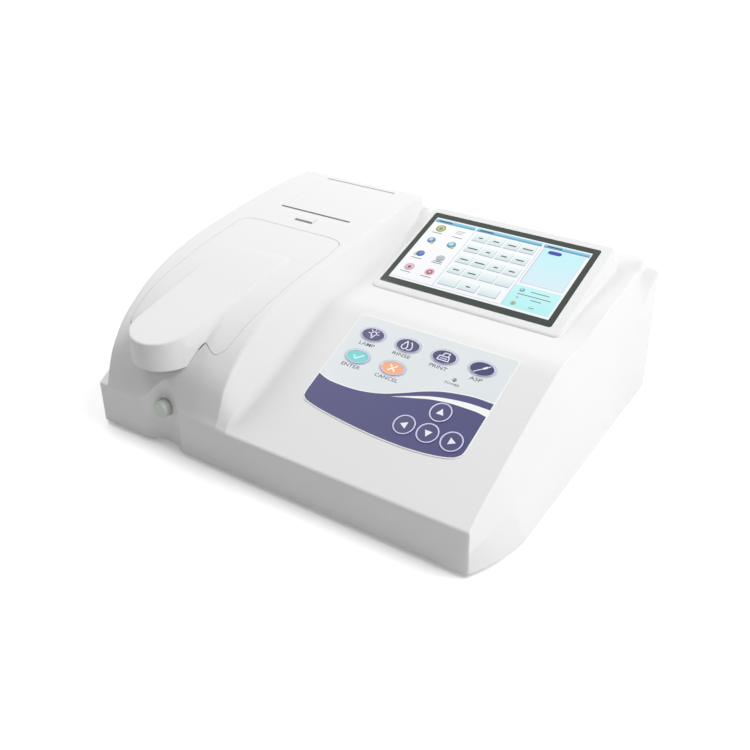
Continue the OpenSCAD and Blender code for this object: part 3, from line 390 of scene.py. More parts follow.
def finish(name, colour, roughness, grain, relief, spread, stretch=(1, 1, 1), **surface):
    """A material with a grain in millimetres that stands up by relief.

    Its tone varies with the grain by spread, and its roughness by about a tenth.
    """
    made = bpy.data.materials.get(name)
    if made:
        return made
    made = bpy.data.materials.new(name)
    tree = blank(made)
    where = add(tree, "TexCoord").outputs["Object"]
    laid = add(tree, "Mapping", {"Vector": where, "Scale": stretch})
    noise = add(tree, "TexNoise", {"Vector": laid.outputs["Vector"], "Scale": 1 / (grain * MM),
                                   "Detail": 3.0})
    fine = noise.outputs["Fac"]
    broad = add(tree, "TexNoise", {"Vector": where, "Scale": 1 / (BLOTCH * MM), "Detail": 2.0})
    tone = add(tree, "Mix", {"Factor": 0.6, "A": fine, "B": broad.outputs["Fac"]})
    ramp = add(tree, "ValToRGB", {"Fac": tone.outputs["Result"]})
    base = linear(colour) if isinstance(colour, str) else colour
    for end, position, share in zip(ramp.color_ramp.elements, (0.3, 0.7), (1 - spread, 1 + spread)):
        end.position = position
        end.color = [min(c * share, 1.0) for c in base[:3]] + [1.0]
    rough = add(tree, "MapRange", {"Value": fine, "From Min": 0.25, "From Max": 0.75,
                                   "To Min": roughness * 0.88, "To Max": min(roughness * 1.12, 1.0)})
    bump = add(tree, "Bump", {"Height": fine, "Distance": relief * MM, "Strength": 1.0})
    shader = add(tree, "BsdfPrincipled", {"Base Color": ramp.outputs["Color"],
                                          "Roughness": rough.outputs["Result"],
                                          "Normal": bump.outputs["Normal"]})
    for socket, value in surface.items():
        shader.inputs[socket.replace("_", " ")].default_value = value
    add(tree, "OutputMaterial", {"Surface": shader.outputs["BSDF"]})
    return made


def lit(name, low, high):
    """One colour field of a backlit picture behind glossy glass, running from low to high up the field."""
    made = bpy.data.materials.new(name)
    tree = blank(made)
    where = add(tree, "UVMap", uv_map="print")
    run = add(tree, "SeparateXYZ", {"Vector": where.outputs["UV"]})
    ramp = add(tree, "ValToRGB", {"Fac": run.outputs["Y"]})
    for end, code in zip(ramp.color_ramp.elements, (low, high)):
        end.color = linear(code)
    shader = add(tree, "BsdfPrincipled", {"Base Color": (0.02, 0.02, 0.02, 1), "Roughness": 0.12,
                                          "Emission Color": ramp.outputs["Color"], "Emission Strength": GLOW})
    add(tree, "OutputMaterial", {"Surface": shader.outputs["BSDF"]})
    return made


def cover_abs():
    """Satin off-white ABS, moulded in a finely sparked tool.

    Its real grain of 0.1 mm is drawn at 0.7 mm to show.
    """
    look = bpy.context.scene.analyzer
    return finish("Satin moulded ABS, off-white", look.cover_colour, look.cover_roughness, 0.7, 0.012, 0.012,
                  Specular_IOR_Level=0.5, IOR=1.53)


def mould(target, bodyname, replaced, edge, angle=50, segments=2):
    """Dresses a moulded piece of the case."""
    dress(target, bodyname, "cover_plastic", replaced, cover_abs(), edge=edge, angle=angle, segments=segments)


# Width in millimetres of the broad, faint variation that every finish has
BLOTCH = 60
# Brightness of the lit picture
GLOW = 0.92

# The finish of each slot: name, colour, roughness, grain, relief, spread, and what else sets it apart
FINISHES = {
    # ABS inside the sample well: matter and a little greyer than outside
    "inner_plastic": ("Matt moulded ABS, pale grey", "#dcdedb", 0.55, 0.9, 0.02, 0.03, {"IOR": 1.53}),
    # Glass-filled nylon: dark grey and matt, its fibres just break the gloss
    "frame_plastic": ("Glass-filled nylon, dark grey", "#34363a", 0.5, 0.8, 0.03, 0.12, {"IOR": 1.53}),
    # Steel sheet under a thin powder coat: fine orange peel
    "sheet_steel": ("Powder-coated steel sheet", "#b9bdc0", 0.42, 1.4, 0.03, 0.04, {}),
    # Bead-blasted cast aluminium: pale, dull, lightly pitted
    "cast_aluminium": ("Bead-blasted aluminium", "#b4b7b9", 0.46, 0.6, 0.03, 0.06, {"Metallic": 1.0}),
    # Zinc-plated motor can: drawn lengthways marks
    "motor_steel": ("Zinc-plated motor can", "#9a9ea2", 0.34, 1.2, 0.01, 0.08,
                    {"stretch": (0.05, 1, 1), "Metallic": 1.0}),
    # Turned and polished stainless steel
    "polished_steel": ("Polished stainless steel", "#c3c6ca", 0.16, 1.5, 0.004, 0.04, {"Metallic": 1.0}),
    # Moulded nitrile rubber: near black with a dusty bloom
    "foot_rubber": ("Nitrile rubber", "#232326", 0.72, 1.1, 0.05, 0.18, {"IOR": 1.52}),
    # Extruded silicone tube: milky, soft sheen
    "tube_silicone": ("Silicone tube", "#ddd8cb", 0.38, 2.0, 0.01, 0.05,
                      {"IOR": 1.41, "Transmission_Weight": 0.25}),
    # Polished quartz and filter glass
    "optic_glass": ("Polished optical glass", "#d6ecf2", 0.04, 6.0, 0.0, 0.03,
                    {"IOR": 1.46, "Transmission_Weight": 0.9}),
    # FR-4 board under green solder mask: weave just shows in the gloss
    "circuit_board": ("Solder-masked circuit board", "#1f6a45", 0.32, 0.9, 0.02, 0.14, {"IOR": 1.5}),
    # Calendered thermal paper on the roll
    "thermal_paper": ("Thermal paper", "#f6f6f2", 0.6, 0.5, 0.01, 0.02, {"stretch": (12, 1, 1)}),
    # Machined brass pinion
    "gear_brass": ("Machined brass", "#c7a552", 0.26, 1.0, 0.01, 0.07, {"Metallic": 1.0}),
    # Gloss polycarbonate of the rocker
    "rocker_green": ("Gloss polycarbonate, green", "#1f6b38", 0.18, 3.0, 0.004, 0.05, {"IOR": 1.58}),
    # Pressed bright steel can of the display module
    "display": ("Display module can", "#8c949b", 0.3, 1.2, 0.01, 0.06, {"Metallic": 1.0}),
    # Tempered glass with a dark border printed on its back
    "screen_glass": ("Tempered cover glass, printed green-black", "#172a20", 0.1, 9.0, 0.0, 0.08,
                     {"IOR": 1.52, "Coat_Weight": 0.25, "Coat_Roughness": 0.05}),
    # Frosted acrylic of the small power lamp
    "lamp_lens": ("Frosted acrylic, grey", "#7f8a86", 0.24, 1.4, 0.01, 0.06, {"IOR": 1.49}),
}


def slot_finish(slot):
    """The finish of a slot; the moulded case's own is the cover's."""
    if slot not in FINISHES:
        return cover_abs()
    *values, more = FINISHES[slot]
    return finish(*values, **more)


def film(name, colour, roughness=0.46, grain=0.6, relief=0.006, spread=0.02):
    """Polyester film printed on its back, its face lightly matted with a very fine leather grain."""
    return finish(name, colour, roughness, grain, relief, spread, IOR=1.57, Specular_IOR_Level=0.22)


def key_film(print_name, colour):
    """The same polyester, thermoformed into a key: smoother than the flat film."""
    return film("Formed polyester, " + print_name, colour, 0.32, 1.2, 0.004, 0.03)


# Settings

def shade(title, code):
    return FloatVectorProperty(name=title, description=f"{title} of the part", subtype="COLOR", size=4,
                               min=0, max=1, default=linear(code))


def number(title, text, default, low, high, **more):
    return FloatProperty(name=title, description=text, default=default, min=low, max=high, **more)


def length(title, text, default, low, high):
    return number(title, text, default, low, high, unit="LENGTH")


class AnalyzerSettings(bpy.types.PropertyGroup):
    edge_radius: length("Edge radius", "Rounding of the case's front edge", 0.0016, 0.0005, 0.003)
    seam_edge: length("Seam edge", "Rounding of the edges along the seams", 0.00035, 0.0001, 0.0008)
    lid_gap: length("Lid gap", "Gap round the sample lid", 0.0005, 0.0003, 0.001)
    cover_colour: shade("Cover colour", "#edeeeb")
    cover_roughness: number("Cover roughness", "How matt the moulded case is", 0.36, 0.1, 0.9,
                            subtype="FACTOR")
    panel_colour: shade("Panel colour", "#dde3e5")
    wave_colour: shade("Wave colour", "#4a4977")
    navy_colour: shade("Navy key colour", "#393967")
    enter_colour: shade("Enter key colour", "#6fcaca")
    cancel_colour: shade("Cancel key colour", "#f1a67c")
    main_lamp: number("Main lamp", "Power of the brightest soft box", 24.5, 0, 200, unit="POWER")
    sky_light: number("Sky light", "Brightness of the even light all round", 0.19, 0, 2)
    view_lens: number("Lens", "Focal length on a 36 mm sensor", 45.934, 20, 120)


# Case

# Where the sample side's right wall starts at its top, and where it meets the deck
DECK_LEFT, DECK_FOOT = 134.0, 145.0
# The rear shoulder's highest point, x and z, and from where and over what run the right edge climbs to it
SHOULDER = (377.5, 118.5)
CLIMB_START, CLIMB_RUN = 250, 70
# The rounding of the vertical front corners: radius, how deep it runs, and how far it draws in
CORNER_R, CORNER_DEPTH, CORNER_BACK = 3.0, 1.75, 1.93


def corners(y, back=0.0, raised=0.0):
    """Corners of the cross-section at depth y: x, z, radius and steps, clockwise from the bottom left."""
    low = deck(y)
    high = max(arch(y - back) + raised, low + 0.5)
    step = min(max((y - CLIMB_START) / CLIMB_RUN, 0), 1)
    left, right = -flared(left_flare, y), WIDTH + flared(right_flare, y)
    ledge = min(LEDGE, high - 0.35)
    foot, top = max(left_foot(y), left + 1), max(left_top(y), left + 1.4)
    edge = min(deck_edge(y), right - 0.8)
    middle = (mix(mix(right, edge, 0.5), SHOULDER[0], step), mix(0.5 * low, SHOULDER[1], step))
    return [
        (left, 0, 1.2, 2),
        (left + 0.4, ledge, 1.5, 3),
        (foot, ledge + 0.02, 1.6, 3),
        (top, high, mix(1.5, 5, min(y / 60, 1)), 7),
        (DECK_LEFT, high, mix(mix(2.5, 6.5, ease(y / 120)), 1.2, step), 9),
        (mix(DECK_FOOT, 135.5, step), low, mix(9, 1.2, step), 8),
        (edge, low, 2.6, 5),
        (edge + 0.4, low - mix(2, 8, step), mix(0.4, 1.5, step), 3),
        (*middle, mix(0.4, 3, step), 5),
        (right, 0, 1.2, 2),
    ]


def outline(spots, draw):
    """Round-cornered outline of the cross-section, drawn in on every side."""
    n = len(spots)
    moved = []
    for i, (x, z, radius, steps) in enumerate(spots):
        u = (Vector((x, z)) - Vector(spots[i - 1][:2])).normalized()
        v = (Vector(spots[(i + 1) % n][:2]) - Vector((x, z))).normalized()
        shift = (Vector((u.y, -u.x)) + Vector((v.y, -v.x))) * draw / (1 + u.dot(v))
        outward = u.x * v.y - u.y * v.x < 0
        moved.append((Vector((x, z)) + shift, max(radius - draw, 0.3) if outward else radius + draw, steps))
    ring = []
    for i, (p, radius, steps) in enumerate(moved):
        before, after = moved[i - 1][0], moved[(i + 1) % n][0]
        u, v = (p - before).normalized(), (after - p).normalized()
        turn = math.acos(min(max(u.dot(v), -1), 1))
        reach = min(radius * math.tan(turn / 2), 0.45 * (p - before).length, 0.45 * (after - p).length)
        reach = max(reach, 0.02)
        a, b = p - u * reach, p + v * reach
        for k in range(steps + 1):
            t = k / steps
            if turn < 0.01:
                ring.append(a.lerp(b, t))
            else:
                bow = math.sin((1 - t) * turn) / math.sin(turn), math.sin(t * turn) / math.sin(turn)
                side = Vector((u.y, -u.x)) * (1 if u.x * v.y - u.y * v.x < 0 else -1)
                radius_now = reach / math.tan(turn / 2)
                centre = a + side * radius_now
                ring.append(centre + (a - centre) * bow[0] + (b - centre) * bow[1])
    return ring


def section(y, draw=0.0, back=0.0, raised=0.0):
    return [(p.x, y, p.y) for p in outline(corners(y, back, raised), draw)]


def rounding(radius):
    """How deep behind an end and how far drawn in the sections are that round the end's edge."""
    turns = [math.radians(22.5 * k) for k in range(5)]
    return [(radius * (1 - math.cos(a)), radius * (1 - math.sin(a))) for a in turns]


# Depths of the case's outer sections and of the hollow's
DEPTHS = [2.2, 3, 4, 5, 6, 7, 8.5, 10, 12, 14, 17, 20, 23, 27, 31, 36, 40, 45, 48, 51, 53, 55, 57, 60, 65,
          70, 77, 85, 92, 100, 108, 117, 126, 131, 135, 138, 141, 145, 149, 153, 158, 163, 168, 177, 186,
          194, 202, 210, 218, 226, 235, 243, 252, 260, 268, 277, 285, 291, 295, 298, 301, 304, 307, 310,
          313, 316]
HOLLOW_DEPTHS = [3, 4, 5, 6, 7, 9, 12, 15, 20, 26, 33, 42, 54, 70, 90, 115, 136, 144, 152, 170, 190, 210,
                 235, 260, 285, 298, 304, 310, 317]
# The case's wall, and the rounding of its rear edge
WALL, REAR_ROUND = 3, 2.4
# The lid's outline on the arch, from the nose's right side round the rear to its left side
LID_PLAN = [(95.2, 32), (96.2, 34.7), (97.6, 36.2), (99.3, 36.4), (102, 35), (105.4, 33.3), (109, 32),
            (112.5, 31.7), (115.3, 32.9), (117.2, 34.7), (119.2, 37.6), (120.2, 40.5), (121.4, 50),
            (122.3, 66), (123.7, 102), (125, 140), (126.4, 170), (125.2, 181), (124.8, 188.3),
            (120.5, 193.6), (114, 196.2), (105, 197), (70, 197), (31.5, 197), (22.5, 196.6), (15, 194.8),
            (10.7, 191.8), (9.1, 188.4), (8.9, 178), (9, 150), (9.5, 100), (9.5, 70), (11.5, 50),
            (13, 38), (14.5, 33.5), (18, 32), (21.6, 33.3), (25, 35), (27.7, 36.4), (29.4, 36.2),
            (30.8, 34.7), (31.8, 32)]
# The niche under the nose: its plan at the foot, and how high it runs
NICHE = [(43, -6), (43.5, -1), (46, 0.1), (52, 0.7), (58, 2.3), (64, 4), (70, 5), (76, 5.2), (82, 4.5),
         (87, 3.2), (91, 1.7), (93.6, 0), (94.4, -1), (94.6, -6)]
NICHE_TOP = 66
# Middle of the aspirate button, x and z
BUTTON = (72.0, 35.0)
# The rear panel's recess: left, bottom, right and top
REAR = (158, 10, 356, 96)
# Outline of the lower opening under the key panel, in the deck's plane
LOWER_WINDOW = [(264.6, 51.8), (322.6, 51.8), (329.9, 58.5), (329.9, 97), (264.6, 97)]
# The lid's hinge pin, y and z, and its radius
LID_PIN, LID_PIN_R = (186, 126.2), 1.05
# Left and right edge of the printer's door, and the play round it
DOOR_SIDES, PLAY = (25.5, 107), 0.12


class ANALYZER_OT_cover(bpy.types.Operator):
    """Moulds the hollow top cover with its openings"""
    bl_idname = "analyzer.cover"
    bl_label = "Top cover"

    def execute(self, context):
        look = context.scene.analyzer
        rings = [section(deep, draw) for deep, draw in rounding(look.edge_radius / MM)]
        rings += [section(y) for y in DEPTHS]
        rings += [section(DEPTH - deep, draw) for deep, draw in reversed(rounding(REAR_ROUND))]
        cover = tool("top_cover_shell", loft(rings))

        rings = [section(y, WALL, WALL, 0.45) for y in HOLLOW_DEPTHS]
        hollow = tool("hollow", loft([[(x, y, z if z > 3.5 else -6) for x, y, z in ring] for ring in rings]))
        x0, z0, x1, z1 = REAR
        for form in (
            block(x0 - WALL, 303, z0 - WALL, x1 + WALL, 319, z1 + WALL),
            rod(BUTTON, 9.9, "y", 8.5, 24),
            block(2, 182, 121.7, 13, 190, LID_PIN[1]),
            block(120, 182, 121.7, 131, 190, LID_PIN[1]),
        ):
            cut(hollow, "rib", form)
        carve(hollow, self.niche(WALL, 2, NICHE_TOP + 1))
        carve(cover, hollow)

        opening = grown([p for p in lid_edge() if p[1] > OPENING_FRONT], look.lid_gap / MM)
        cut(cover, "lid_opening", prism(opening, "z", 60, 170))
        carve(cover, self.niche(0, -3, NICHE_TOP))
        left, right = DOOR_SIDES
        for name, form, place in (
            ("button_bore", rod(BUTTON, 7.9, "y", -6, 40), BODY),
            ("screen_window", block(167.9, 203, -40, 331.2, 303.2, 9), POD),
            ("key_window_upper", block(187.6, 96, -8, 329.9, 146, 8), DECK),
            ("key_window_lower", prism(LOWER_WINDOW, "z", -8, 8), DECK),
            ("door_opening", block(left - PLAY, 230.2, 110, right + PLAY, 310.7, 150), BODY),
            ("latch_recess", prism(rounded(56.2, 211.7, 76.8, 221.6, 0.8, 3), "z", 110, 150), BODY),
            ("rear_recess", block(x0, 306, z0, x1, 325, z1), BODY),
            ("rear_window", block(x0 + 8, 290, z0 + 8, x1 - 8, 325, z1 - 8), BODY),
            ("lid_pin", rod(LID_PIN, LID_PIN_R, "x", 4, 129.5, 16), BODY),
        ):
            cut(cover, name, form, place)
        mould(cover, "base", ["top_cover"], look.seam_edge / MM)
        return {"FINISHED"}

    def niche(self, grow, low, high):
        """The shallow hollow that runs up the front under the nose, deeper towards its top."""
        plan = grown(through(NICHE, 4, closed=True)[::-1], grow)
        rings = []
        for k in range(24):
            z = mix(low, high, k / 23)
            rings.append([(x, mix(y, y * 2.1 if y > 0 else y, max(z, 0) / NICHE_TOP), z) for x, y in plan])
        return tool("niche", loft(rings))


# Sample lid

# The nose's round front: its middle and radius; then how far its sides stand out at the rear, how far back
# that is, and their taper in degrees
NOSE_X, NOSE_Y, NOSE_R = 63.5, 24.0, 28.0
NOSE_REAR, NOSE_BACK, TAPER = 36, 150.0, 3.61
SIDE = (math.cos(math.radians(TAPER)), math.sin(math.radians(TAPER)))
# How far back the nose is hollow from below
NOSE_HOLLOW = 112
# Half the width over which the lid floats over the cover beside the nose
NOSE_HALF = 35.0
# Depth at which the opening starts under the lid
OPENING_FRONT = 31.0
# Height of the fold behind the nose's right side, and of the nose's lower rim
FOLD = 1.2
RIM_Z = 75.0


def nose_depth(x, y):
    """How far a plan point lies inside the nose's outline; negative outside."""
    across = abs(x - NOSE_X)
    if across * SIDE[1] + (y - NOSE_Y) * SIDE[0] < 0:
        return NOSE_R - math.hypot(across, y - NOSE_Y)
    return (NOSE_REAR - across) * SIDE[0] + (y - NOSE_BACK) * SIDE[1]


def nose_line(inside, back=NOSE_BACK):
    """The nose's outline moved inwards, from its rear left round the front to its rear right."""
    front = arc(NOSE_X, NOSE_Y, NOSE_R - inside, 180 + TAPER, 360 - TAPER, 48)
    rear = NOSE_REAR - inside / SIDE[0] + (back - NOSE_BACK) * SIDE[1] / SIDE[0]
    return [(NOSE_X - rear, back)] + front + [(NOSE_X + rear, back)]


def lid_edge():
    """The lid's outline behind the nose's round front, which flares into the lid's front edge."""
    flare = [(91.5, 18.4), (93.1, 24), (94.5, 29)]
    return through(flare + LID_PLAN + [(2 * NOSE_X - x, y) for x, y in reversed(flare)], 6)


def nose_height(x, y, inside):
    """How far the nose stands over the arch: its flat top, and the fold behind its right side."""
    flat = max(100 + 0.16 * y - arch(y), 0) * (1 - ease((y - 118) / 30))
    fold = FOLD * ease((y - 80) / 30) * (1 - ease((y - 141) / 12)) * max(1 - max(inside, 0) / 22, 0) ** 2
    return flat + (fold if x > NOSE_X else 0)


def lid_top(x, y):
    inside = nose_depth(x, y)
    rise = nose_height(x, y, inside)
    if rise <= 0:
        return arch(y)
    drop = min(1.0, 0.35 * rise)
    if inside >= 1.2:
        return arch(y) + rise
    if inside >= 0:
        return arch(y) + rise - drop * (1 - inside / 1.2) ** 2
    foot = 3.2 * min(y / 60, 1) + 0.3 + 0.2 * min(rise, 15)
    side = arch(y) + (rise - drop) * max(1 + inside / foot, 0) ** 2
    return max(side, RIM_Z + 2) if y < 30 else side


def lid_bottom(x, y):
    inside = nose_depth(x, y)
    if inside >= 2.7 and y < NOSE_HOLLOW:
        return lid_top(x, y) - 2.6
    if y < 37 and abs(x - NOSE_X) < NOSE_HALF:
        return max(RIM_Z, arch(y) + 0.6)
    return arch(y) - 3


class ANALYZER_OT_lid(bpy.types.Operator):
    """Moulds the sample lid with its nose"""
    bl_idname = "analyzer.lid"
    bl_label = "Sample lid"

    def execute(self, context):
        look = context.scene.analyzer
        plan = arc(NOSE_X, NOSE_Y, NOSE_R, 206, 334, 48) + lid_edge()
        lines = [nose_line(inside) for inside in (0.1, 0.25, 0.5, 0.85, 1.2, 2)]
        lines += [nose_line(inside, NOSE_HOLLOW) for inside in (2.6, 2.75)]
        lines += [nose_line(inside) for inside in (-0.1, -0.4, -0.9, -1.6, -2.4, -3.3, -4.3, -5.4)]
        lines += [[(NOSE_X + x, 26), (NOSE_X + x, 40)] for x in (-35.1, -34.9, 34.9, 35.1)]
        rows = [27 + k for k in range(10)] + [43 + 2.5 * k for k in range(62)]
        rows += [36.9, 37.1, 39, 41, NOSE_HOLLOW - 0.1, NOSE_HOLLOW + 0.1]
        lines += [[(5, y), (130, y)] for y in sorted(rows)]
        lines += [[(NOSE_X - 30, y), (NOSE_X + 30, y)] for y in range(-3, 29, 3)]
        lid = tool("sample_lid_moulding", plate([plan], lid_top, lid_bottom, lines)[:2])
        cut(lid, "rib", block(15.5, 183.6, 123.6, 118, 188.4, 126.8), operation="UNION")
        cut(lid, "pin_hole", rod(LID_PIN, LID_PIN_R, "x", 0, 140, 16))
        mould(lid, "lid", ["sample_lid"], look.seam_edge / MM)
        return {"FINISHED"}


# Slip printer

# Depth of the door's front edge and of its hinge, and the left ends and the width of the hinge's two eyes
DOOR_FRONT, DOOR_HINGE = 232.8, 308.0
EYES, EYE_WIDE = (40, 90), 4


def arch_strip(y0, y1, drop, thick, steps=24):
    """Side outline of a strip of the arch, lowered by drop."""
    spots = [mix(y0, y1, k / steps) for k in range(steps + 1)]
    return [(y, arch(y) - drop) for y in spots] + [(y, arch(y) - drop - thick) for y in reversed(spots)]


class ANALYZER_OT_printer(bpy.types.Operator):
    """Makes the printer's door behind the paper slot and its latch"""
    bl_idname = "analyzer.printer"
    bl_label = "Slip printer"

    def execute(self, context):
        axis = (DOOR_HINGE, arch(DOOR_HINGE) - 2.6)
        strip = arch_strip(DOOR_FRONT, DOOR_HINGE, 0, 3, 30)
        half = len(strip) // 2
        side = strip[:half] + arc(*axis, 2.55, 80, -80, 10) + strip[half:]
        door = tool("printer_door", prism(side, "x", *DOOR_SIDES))
        eyes = []
        for x in EYES:
            low, high = x - PLAY, x + EYE_WIDE + PLAY
            cut(door, "eye_gap", rod(axis, 2.68, "x", low, high, 32))
            cut(door, "eye_gap", block(low, axis[0], 100, high, 320, 150))
            eyes.append(tool("door_eyes", rod(axis, 2.56, "x", x + 0.02, x + EYE_WIDE - 0.02, 32)))
        carve(*eyes, "UNION")
        for made in (door, eyes[0]):
            cut(made, "pin_hole", rod(axis, 1.25, "x", 20, 120, 16))
        mould(door, "printer_door", ["printer_cover"], 0.25)
        mould(eyes[0], "base", [], 0.15)

        latch = tool("printer_latch_tab", prism(arch_strip(213.5, 221.3, -1.2, 5.2), "x", 56.5, 76.5))
        cut(latch, "slide", prism(arch_strip(211.7, 224.6, 3.6, 1.6), "x", 52.2, 80.8), operation="UNION")
        mould(latch, "door_latch", ["printer_latch"], 0.45, segments=3)
        return {"FINISHED"}


# Screen

# The pod and the glass by their corners in the pod's plane, and the picture by its corner and its size
POD_BOX = (162.5, 193.0, 343.0, 313.5)
GLASS_BOX = (165.9, 201.0, 333.2, 305.2)
PICTURE = (171.5, 208.6, 156.0, 90.0)
POD_ROUND = 5


def deck_below(s):
    """Height of the deck under a point of the pod's plane."""
    c, n = math.cos(math.radians(POD_SLOPE)), math.sin(math.radians(POD_SLOPE))
    w = 0.0
    for _ in range(6):
        w = (deck(min(max(s * c - w * n, 0), DEPTH)) - POD_Z - s * n) / c
    return w


def pod_depth(x, s):
    """How far a point lies inside the pod's round-cornered outline."""
    x0, y0, x1, y1 = POD_BOX
    a = abs(x - (x0 + x1) / 2) - (x1 - x0) / 2 + POD_ROUND
    b = abs(s - (y0 + y1) / 2) - (y1 - y0) / 2 + POD_ROUND
    return POD_ROUND - math.hypot(max(a, 0), max(b, 0)) - min(max(a, b), 0)


def pod_top(x, s):
    floor = deck_below(s)
    inside = pod_depth(x, s)
    rise = -floor
    drop = min(0.9, 0.4 * rise)
    if inside >= 2:
        return 0.0
    if inside >= 0:
        return -drop * (1 - inside / 2) ** 2
    foot = 1.0 + 0.12 * rise
    return floor - 0.12 + (rise - drop + 0.12) * max(1 + inside / foot, 0) ** 2


def screen_fields():
    """Fields of the picture, in fractions of its width and height, each with the number of its colour."""
    fields = []

    def bar(x0, y0, x1, y1, colour):
        fields.append((box_of(x0, y0, x1, y1), colour))
    bar(0, 0, 1, 1, 0)
    for x0, x1 in ((0.005, 0.273), (0.283, 0.704), (0.716, 0.995)):
        bar(x0, 0.93, x1, 0.985, 1)
        bar(x0 + 0.02, 0.949, x0 + 0.11, 0.967, 4)
    for x in (0.278, 0.708):
        bar(x, 0.03, x + 0.003, 0.93, 2)
    bar(0.005, 0.024, 0.7, 0.029, 2)
    for row, v in enumerate((0.842, 0.665, 0.487, 0.321)):
        for col, u in enumerate((0.342, 0.443, 0.545, 0.645)):
            bar(u - 0.045, v - 0.064, u + 0.047, v + 0.064, 2)
            bar(u - 0.045, v - 0.052, u + 0.044, v + 0.064, 3)
            if (row, col) not in ((3, 2), (3, 3)):
                wide = 0.013 + 0.006 * ((row * 3 + col * 5) % 4)
                bar(u - wide, v - 0.007, u + wide, v + 0.009, 4)
    for u in (0.353, 0.477, 0.606):
        bar(u - 0.055, 0.073, u + 0.059, 0.2, 2)
        bar(u - 0.055, 0.085, u + 0.055, 0.2, 3)
    bar(0.463, 0.13, 0.49, 0.146, 4)
    bar(0.724, 0.376, 0.98, 0.92, 2)
    bar(0.728, 0.381, 0.978, 0.92, 5)
    fields.append((rounded(0.762, 0.852, 0.844, 0.905, 0.02, 3), 6))
    bar(0.711, 0.03, 0.988, 0.345, 7)
    for x0, x1, v in ((0.82, 0.93, 0.286), (0.755, 0.952, 0.228), (0.846, 0.909, 0.18),
                      (0.861, 0.892, 0.083)):
        bar(x0, v - 0.005, x1, v + 0.005, 8)
    for row, v in enumerate((0.845, 0.645, 0.42, 0.2)):
        for col, u in enumerate((0.073, 0.208)):
            fields += icon(u, v, 0.031, row * 2 + col)
            if row != 1:
                bar(u - 0.036, v - 0.082, u + 0.03, v - 0.072, 8)
    return fields + icon(0.768, 0.286, 0.017, 3) + icon(0.768, 0.178, 0.008, 6) + icon(0.768, 0.09, 0.015, 0)


def icon(u, v, size, number):
    """A small round pictogram of plain discs, bars and rings."""
    wide, high = size, size * PICTURE[2] / PICTURE[3]

    def disc(scale, colour, dx=0.0, dy=0.0):
        return oval(u + dx * wide, v + dy * high, wide * scale, high * scale, 20), colour

    def bar(x0, y0, x1, y1, colour):
        return box_of(u + x0 * wide, v + y0 * high, u + x1 * wide, v + y1 * high), colour
    return (
        [disc(1, 9), disc(0.72, 10), disc(0.42, 9)],
        [bar(-1, 0.42 * k - 0.5, 0.5 + 0.2 * k, 0.42 * k - 0.32, 11) for k in range(3)],
        [disc(0.85, 12), disc(0.4, 13, -0.2, 0.2), disc(0.34, 14, 0.5, -0.75)],
        [disc(0.9, 15), disc(0.5, 13, -0.15, 0.2), disc(0.34, 14, 0.55, -0.75)],
        [disc(0.5, 10, -0.75, -0.4), disc(0.85, 16), disc(0.45, 12, 0.1, 0.1)],
        [disc(0.9, 11), disc(0.55, 2), bar(-1, -1.1, 0.9, -0.9, 8)],
        [disc(1, 11), disc(0.75, 17), disc(0.36, 18)],
        [disc(1, 17), disc(0.62, 18), disc(0.3, 17)],
    )[number]


# Colours of the picture's fields at the foot and at the top of each
PICTURE_COLOURS = (
    ("white", "#f6f8fb", "#fdfeff"), ("title bar", "#1f86b8", "#9fe4f5"),
    ("hairline", "#a9b6c6", "#b8c4d2"), ("tile", "#d5e6e9", "#f2fbfb"),
    ("tile mark", "#2c3444", "#2c3444"), ("list", "#dcf0fb", "#c3f7fb"),
    ("chosen line", "#1d22a6", "#2f37c8"), ("status", "#b4f3f6", "#c6f8f8"),
    ("grey mark", "#5d6c75", "#5d6c75"), ("olive", "#7f8438", "#969b48"),
    ("pale green", "#b9cf9c", "#cfe0ae"), ("steel", "#a3a6ad", "#c6c9ce"), ("blue", "#3a79b4", "#5a9bd0"),
    ("sky", "#a9d6ea", "#c6e7f4"), ("amber", "#d7a83a", "#e8c468"), ("teal", "#3d8f9c", "#63b3ba"),
    ("royal blue", "#3b4f9e", "#5a70bb"), ("rose", "#dba9b4", "#ecc6cd"),
    ("crimson", "#9c2f45", "#b44a5e"),
)


